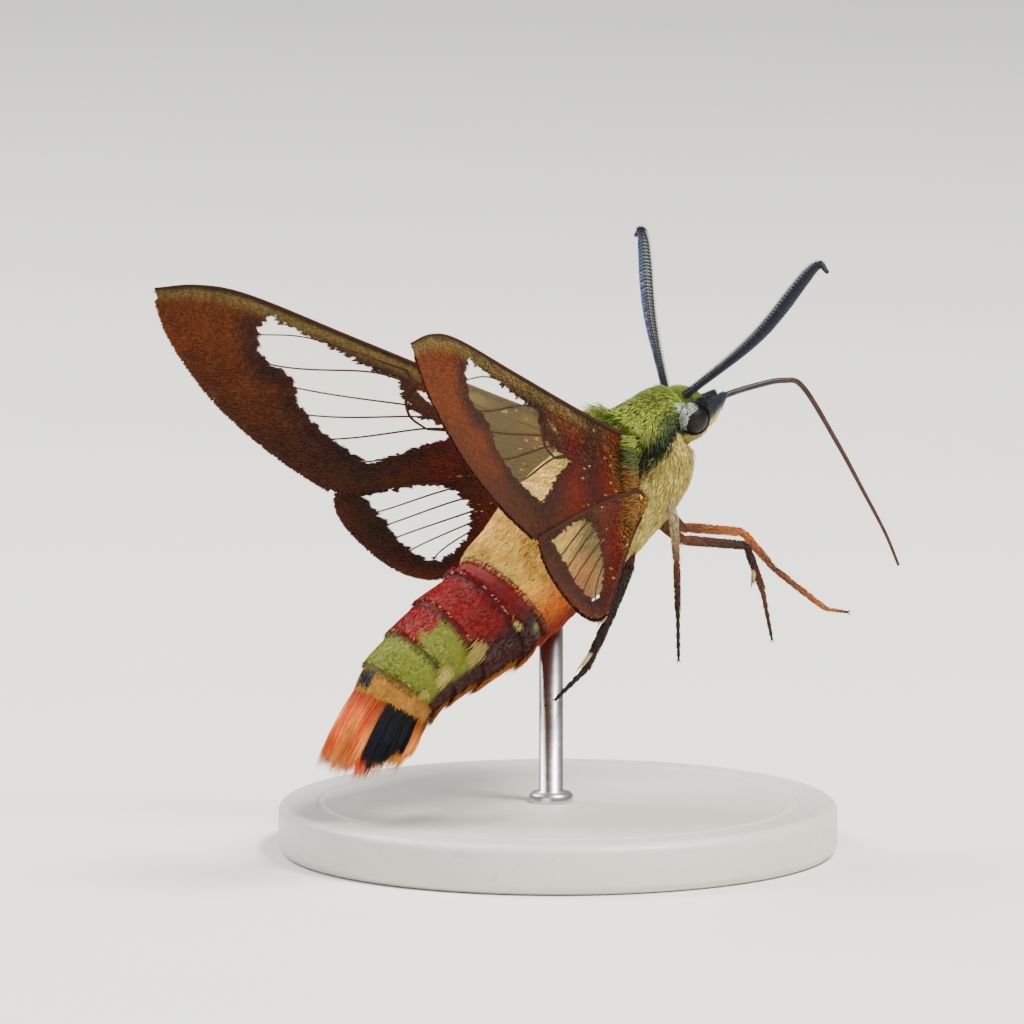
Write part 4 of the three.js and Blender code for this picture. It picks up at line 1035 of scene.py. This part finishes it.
def wing_fringe(name, wing, side, material):
    """Short hair along the margin and the trailing edge."""
    parts = []
    for key, count in (("margin", 1000), ("trail", 500)):
        shares = np.sort(rng.uniform(0.04, 0.98, count))
        places = even_spline(wing[key], shares)
        ahead = even_spline(wing[key], shares + 0.01) - even_spline(wing[key], shares - 0.01)
        outward = unit(np.stack([ahead[:, 1], -ahead[:, 0]], -1))
        outward *= np.sign(np.sum(outward * (places - wing["middle"]), -1, keepdims=True))
        parts.append((places, outward + 0.35 * unit(ahead)))
    places, heading = (np.vstack(v) for v in zip(*parts))
    roots = to_space(places, -wing["lower"], side)
    lie = unit(in_plane(heading, side)) + rng.normal(0, 0.1, roots.shape)
    tint = shade(wing_colour(wing, places), 0.2)
    long = 0.24 * rng.uniform(0.6, 1.15, len(places))
    return tufts(name, material, roots, mirrored(WING_NORMAL, side), lie, long, 0.09, 0.0, tint, 1.2,
                 wing_uv(places, 0.9), sink=0.0, thick=0.25)


def wing_membrane(name, wing, side, material):
    """A thin closed sheet with its colours and its clear windows."""
    columns, rows = wing["grid"]
    sheet, crown = wing_grid(wing, columns, rows)
    points = np.vstack([to_space(sheet, crown + height, side).reshape(-1, 3)
                        for height in (MEMBRANE / 2, -MEMBRANE / 2)])
    faces = grid_faces(columns, rows, False)
    count = columns * rows
    rim = np.concatenate([np.arange(rows), np.arange(2 * rows - 1, count, rows),
                          np.arange(count - 2, count - rows - 1, -1), np.arange(count - 2 * rows, 0, -rows)])
    follow = np.roll(rim, -1)
    edge = np.stack([rim, rim + count, follow + count, follow], -1)
    faces = np.vstack([faces, faces[:, ::-1] + count, edge])
    tint = np.tile(wing_colour(wing, sheet).reshape(-1, 3), (2, 1))
    clear = np.tile(clear_share(wing, sheet).ravel(), 2)
    return new_mesh(name, points, faces, material, tint, {"clear": clear})


def root_tuft(side, name):
    """Hair from the chest that covers the roots of both wings of a side, on both faces."""
    count = 2000
    a, t = rng.uniform(-0.4, 0.6, count), rng.uniform(-0.45, 3.9, count)
    a = np.maximum(a, t - 3.7)
    face = rng.choice([-1.0, 1.0], count)
    roots = to_space(np.stack([a, t], -1), face * rng.uniform(0.03, 0.15, count), side)
    lie = in_plane(np.array([1.0, 0.3]), side) + rng.normal(0, 0.12, roots.shape)
    tint = shade(layered(plain("olive", t.shape), ("black_green", 0.8 * step(t, -0.1, 0.3)),
                         ("brown_gold", step(t, 0.8, 1.6))), 0.25)
    piece = tufts(f"wing_root_{name}_tuft", wool, roots, mirrored(WING_NORMAL, side) * face[:, None], lie,
                  rng.uniform(0.6, 1.5, count), 0.07, rng.uniform(0.03, 0.12, count), tint, 1.3,
                  unwrapped((a + 1) / 2, ((t + 1) / 5.5 + (face > 0)) / 2), sink=0.05)


membrane_shader = wing_material()
vein_shader = fine_material("wing_vein", 2200.0, vein_colour, (0.6, 0.8), 0.06, (0.00001, 0.5))
wing_coat = coat_material("wing_scales", 0.6, specular=0.12, dark=0.8)
for side, name in SIDES:
    for kind, wing in (("forewing", FOREWING), ("hindwing", HINDWING)):
        membrane = wing_membrane(f"{kind}_{name}_membrane", wing, side, membrane_shader)
        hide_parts(f"{kind}_{name}")
        for piece in (membrane, wing_veins(f"{kind}_{name}_veins", wing, side, vein_shader),
                      wing_scales(f"{kind}_{name}_scales", wing, side, wing_coat),
                      wing_fringe(f"{kind}_{name}_fringe", wing, side, wing_coat)):
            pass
    root_tuft(side, name)

# Legs: x, y, z, radius and colour of each joint, from inside the chest to the claws
LEGS = {
    "foreleg_right": [
        (-1.9, -4.9, 18.6, 0.3, "pale"), (-2.7, -5.1, 16.7, 0.2, "pale"), (-2.75, -5.25, 14.6, 0.15, "brown"),
        (-2.7, -5.35, 12.1, 0.12, "dark"), (-2.7, -5.4, 9.6, 0.08, "dark")],
    "foreleg_left": [
        (1.2, -6.1, 17.4, 0.3, "brown"), (1.5, -8.0, 15.6, 0.24, "brown"), (1.5, -11.66, 15.1, 0.2, "orange"),
        (1.5, -13.5, 13.1, 0.15, "brown"), (1.5, -16.6, 10.8, 0.12, "orange"),
        (1.5, -17.9, 10.55, 0.08, "dark")],
    "midleg_right": [
        (-1.1, -4.6, 16.9, 0.3, "brown"), (-1.25, -6.4, 15.4, 0.24, "brown"),
        (-1.3, -10.2, 14.85, 0.2, "dark"), (-1.3, -11.15, 12.5, 0.15, "brown"),
        (-1.3, -11.7, 10, 0.08, "dark")],
    "midleg_left": [
        (1.6, -4.5, 17.0, 0.3, "brown"), (2.6, -6.2, 15.0, 0.27, "brown"), (3.0, -4.3, 14.2, 0.19, "dark"),
        (3.2, -2.2, 13.1, 0.1, "dark")],
    "hindleg_right": [
        (-1.5, -3.3, 16.4, 0.34, "brown"), (-2.05, -2.8, 14.3, 0.33, "dark"),
        (-2.2, -1.45, 11.5, 0.25, "dark"), (-2.2, -0.3, 9.4, 0.18, "dark"), (-2.0, 1.3, 8.0, 0.09, "dark")],
    "hindleg_left": [
        (1.8, -1.9, 15.4, 0.34, "brown"), (3.3, -0.7, 13.4, 0.3, "dark"), (3.85, 1.6, 11.4, 0.2, "dark"),
        (3.6, 4.2, 9.6, 0.1, "dark")],
}
# Pairs of spurs: place along the leg as a share, and length
SPURS = {"hindleg_right": ((0.42, 1.5), (0.66, 1.7)), "hindleg_left": ((0.62, 1.5),),
         "midleg_right": ((0.66, 1.1),), "midleg_left": ((0.66, 1.1),)}
FOOT_JOINTS = 5
LEG_STEPS, LEG_HAIRS = 140, 1600


def leg_colour(shader, noise):
    return shader.times(shader.tint(), shader.ramp(noise, 0.3, 0.7, 0.65, 1.3))


def leg_line(rows):
    """Path, radii and colours at steps along a leg, and where its foot starts as a share of its length."""
    corners = np.array([row[:3] for row in rows])
    lengths = np.concatenate([[0], np.cumsum(np.linalg.norm(np.diff(corners, axis=0), axis=1))])
    joints = lengths / lengths[-1]
    shares = np.linspace(0, 1, LEG_STEPS)
    path = np.stack([smooth(np.interp(shares, joints, corners[:, i]), 3) for i in range(3)], -1)
    path[0], path[-1] = corners[0], corners[-1]
    foot_at = joints[-2]
    knees = sum(bell(shares, joint, 0.018) for joint in joints[1:-1])
    beads = 0.5 + 0.5 * np.cos((shares - foot_at) / (1 - foot_at) * FOOT_JOINTS * TURN)
    beads *= step(shares, foot_at, foot_at + 0.02)
    radii = np.interp(shares, joints, [row[3] for row in rows]) * (1 - 0.16 * knees) * (1 - 0.28 * beads)
    palette = np.array([linear(f"leg_{row[4]}") for row in rows])
    tint = np.stack([np.interp(shares, joints, palette[:, i]) for i in range(3)], -1)
    return path, radii, tint, foot_at


def plain_tube(line, radii, sides, colour):
    points, faces, _ = tube(line, radii, sides)
    return points, faces, plain(colour, (len(points),))


def leg_spurs(name, path):
    """Pairs of thin spurs on the shin."""
    parts, along = [], np.linspace(0, 1, 12)
    for share, long in SPURS.get(name, ()):
        at = int(share * (LEG_STEPS - 1))
        heading = unit(path[at + 2] - path[at - 2])
        for lean in (0.0, 0.16):
            lie = unit(heading + 0.55 * np.array([3 * lean * np.sign(path[at, 0]), 1, -0.3]))
            line = path[at] + along[:, None] * lie * long * (1 - lean)
            parts.append(plain_tube(line, 0.1 * (1 - along**2) + 0.012, 8, "leg_pale"))
    return parts


def leg_claws(path):
    heading = unit(path[-1] - path[-8])
    side = unit(np.cross(heading, [1.0, 0.2, 0.1]))
    along = np.linspace(0, 1, 10)[:, None]
    return [plain_tube(path[-1] + heading * (0.26 * along - 0.02) + hand * side * 0.1 * np.sin(along * 2.2),
                       0.045 * (1 - along[:, 0]) + 0.006, 6, "black") for hand in (-1, 1)]


def leg_hair(name, path, radii, tint, foot_at):
    """Hair along a leg, long on the thigh and short on the foot."""
    at = 0.985 * rng.uniform(0.0, 1.0, LEG_HAIRS) ** 1.4
    index = (at * (LEG_STEPS - 2)).astype(int)
    turn = rng.uniform(0, TURN, LEG_HAIRS)
    tangent = unit(np.gradient(path, axis=0))[index]
    one = unit(np.cross(tangent, [1.0, 0, 0]))
    normal = unit(one * np.cos(turn)[:, None] + np.cross(tangent, one) * np.sin(turn)[:, None])
    root = path[index] + normal * radii[index][:, None] * 0.95
    shin = 1 - step(at, foot_at - 0.03, foot_at + 0.03)
    long = (0.14 + 0.16 * shin + 0.2 * step(0.35 - at, 0.0, 0.2)) * rng.uniform(0.6, 1.1, LEG_HAIRS)
    tint = shade(tint[index] * 1.1, 0.25)
    lie = tangent + rng.normal(0, 0.1, root.shape)
    return tufts(f"{name}_hair", wool, root, normal, lie, long, 0.045 + 0.015 * shin, 0.03 + 0.03 * shin,
                 tint, 1.5, unwrapped(turn / TURN, at, 0.02), sink=0.04)


leg_shader = fine_material("leg_skin", 1500.0, leg_colour, (0.4, 0.65), 0.15, (0.00002, 0.7))
for name, rows in LEGS.items():
    path, radii, tint, foot_at = leg_line(rows)
    points, faces, ring = tube(path, radii, 14)
    parts = [(points, faces, tint[ring]), *leg_spurs(name, path), *leg_claws(path)]
    points, faces, colours = joined(parts)
    leg = new_mesh(f"{name}_skin", points, faces, leg_shader, colours)
    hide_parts(name)
    for piece in (leg, leg_hair(name, path, radii, tint, foot_at)):
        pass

# Stand: a turned base in satin paint and a brushed steel rod
BASE_RADIUS, BASE_HEIGHT, BASE_ROUND = 14.0, 2.5, 0.5
GROOVE = ((1.9, 0.0), (2.0, 0.12), (2.2, 0.12), (2.3, 0.0))  # distance from the rim, depth
ROD_RADIUS, ROD_Y, ROD_TOP = 0.6, 0.4, 15.0
COLLAR = ((0.5, -0.3), (0.5, 0.35), (0.35, 0.5), (0.0, 0.55))  # distance from the rod, height above the base
AXIS = 0.001


def paint_material():
    """Satin stone-coloured paint with a faint grain."""
    shader = Shader("base_paint")
    coarse, fine = shader.noise(90.0, 5.0), shader.noise(1800.0, 4.0)
    colour = shader.mix(shader.ramp(coarse, 0.3, 0.7), (0.5, 0.49, 0.45), (0.56, 0.55, 0.51))
    shader.link(shader.mix(shader.ramp(fine, 0.62, 0.75, 0.0, 0.35), colour, (0.3, 0.28, 0.25)), "Base Color")
    shader.rough(fine, 0.38, 0.52)
    shader.bump(fine, 0.00002, 0.4)
    return shader.material


def steel_material():
    shader = Shader("rod_steel")
    stretched = shader.node("ShaderNodeMapping", {"Vector": shader.place()}, Scale=(1.0, 1.0, 30.0))
    lines = shader.noise(400.0, 5.0, stretched.outputs["Vector"])
    shader.link(shader.mix(lines, (0.5, 0.5, 0.51), (0.58, 0.58, 0.59)), "Base Color")
    shader.rough(lines, 0.27, 0.36)
    shader.set(Metallic=1.0)
    shader.bump(lines, 0.000003, 0.2)
    return shader.material


def turned(name, profile, sides, y, material):
    """A body turned round an upright axis from (radius, height) pairs."""
    turn = angles(sides)
    points = [np.stack([r * np.cos(turn), y + r * np.sin(turn), np.full(sides, h)], -1) for r, h in profile]
    return new_mesh(name, np.vstack(points), grid_faces(len(profile), sides, True), material)


def quarter(radius, height, start, end):
    """A rounded edge: a quarter turn about (radius, height) between two angles, in degrees."""
    return [(radius + BASE_ROUND * math.cos(a), height + BASE_ROUND * math.sin(a))
            for a in np.radians(np.linspace(start, end, 7))]


inner, top = BASE_RADIUS - BASE_ROUND, BASE_HEIGHT - BASE_ROUND
groove = [(BASE_RADIUS - inset, BASE_HEIGHT - depth) for inset, depth in GROOVE]
base_profile = [(AXIS, 0.0), (inner, 0.0), *quarter(inner, BASE_ROUND, -80, 0), *quarter(inner, top, 0, 90),
                *groove, (AXIS, BASE_HEIGHT)]
base = turned("base_turned", base_profile, 160, 0.0, paint_material())
for polygon in base.data.polygons:
    polygon.use_smooth = abs(polygon.normal.z) < 0.999
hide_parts("stand_base")

collar = [(ROD_RADIUS + outside, BASE_HEIGHT + above) for outside, above in COLLAR]
rod_profile = [(AXIS, collar[0][1]), *collar, (ROD_RADIUS, ROD_TOP), (AXIS, ROD_TOP)]
rod = turned("rod_turned", rod_profile, 48, ROD_Y, steel_material())
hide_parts("stand_rod")

# Floor, lights and camera, in metres
FOCUS = Vector((0.002262, 0.001352, 0.016915))
VIEW_AZIMUTH, VIEW_ELEVATION = math.radians(240), math.radians(7.8)
DISTANCE, FIELD = 0.6, 0.0512
# Name, place, size, power, colour
LIGHTS = (("key", (-0.26, -0.12, 0.46), 0.16, 8.0, (1.0, 0.96, 0.88)),
          ("fill", (-0.3, 0.45, 0.12), 0.4, 1.2, (0.92, 0.96, 1.0)),
          ("rim", (0.3, 0.2, 0.4), 0.25, 4.0, (1.0, 0.98, 0.94)))
SKY, SKY_STRENGTH = (0.86, 0.9, 0.88, 1), 0.38


def floor():
    bpy.ops.mesh.primitive_grid_add(x_subdivisions=8, y_subdivisions=8, size=1.6, location=(0, 0, 0))
    ground = bpy.context.object
    ground.name = "floor"
    shader = Shader("floor_paper")
    shader.link(shader.mix(shader.noise(40.0, 5.0), (0.72, 0.73, 0.7), (0.77, 0.77, 0.74)), "Base Color")
    shader.set(Roughness=0.85)
    ground.data.materials.append(shader.material)


def aimed(name, data, place, direction):
    """A lamp or camera at a place, looking along a direction."""
    made = bpy.data.objects.new(name, data)
    bpy.context.scene.collection.objects.link(made)
    made.location = place
    made.rotation_mode = "QUATERNION"
    made.rotation_quaternion = direction.to_track_quat("-Z", "Y")
    return made


def lights():
    for name, place, size, power, colour in LIGHTS:
        light = bpy.data.lights.new(name, "AREA")
        light.energy, light.size, light.color = power, size, colour
        aimed(name, light, place, FOCUS - Vector(place))
    world = bpy.data.worlds.new("studio")
    world.use_nodes = True
    background = world.node_tree.nodes["Background"]
    background.inputs["Color"].default_value = SKY
    background.inputs["Strength"].default_value = SKY_STRENGTH
    bpy.context.scene.world = world


def camera():
    back = Vector((math.sin(VIEW_AZIMUTH) * math.cos(VIEW_ELEVATION),
                   -math.cos(VIEW_AZIMUTH) * math.cos(VIEW_ELEVATION), math.sin(VIEW_ELEVATION)))
    data = bpy.data.cameras.new("camera")
    data.lens = data.sensor_width * DISTANCE / FIELD
    data.clip_start, data.clip_end = 0.01, 10
    bpy.context.scene.camera = aimed("camera", data, FOCUS + back * DISTANCE, -back)


floor()
lights()
camera()
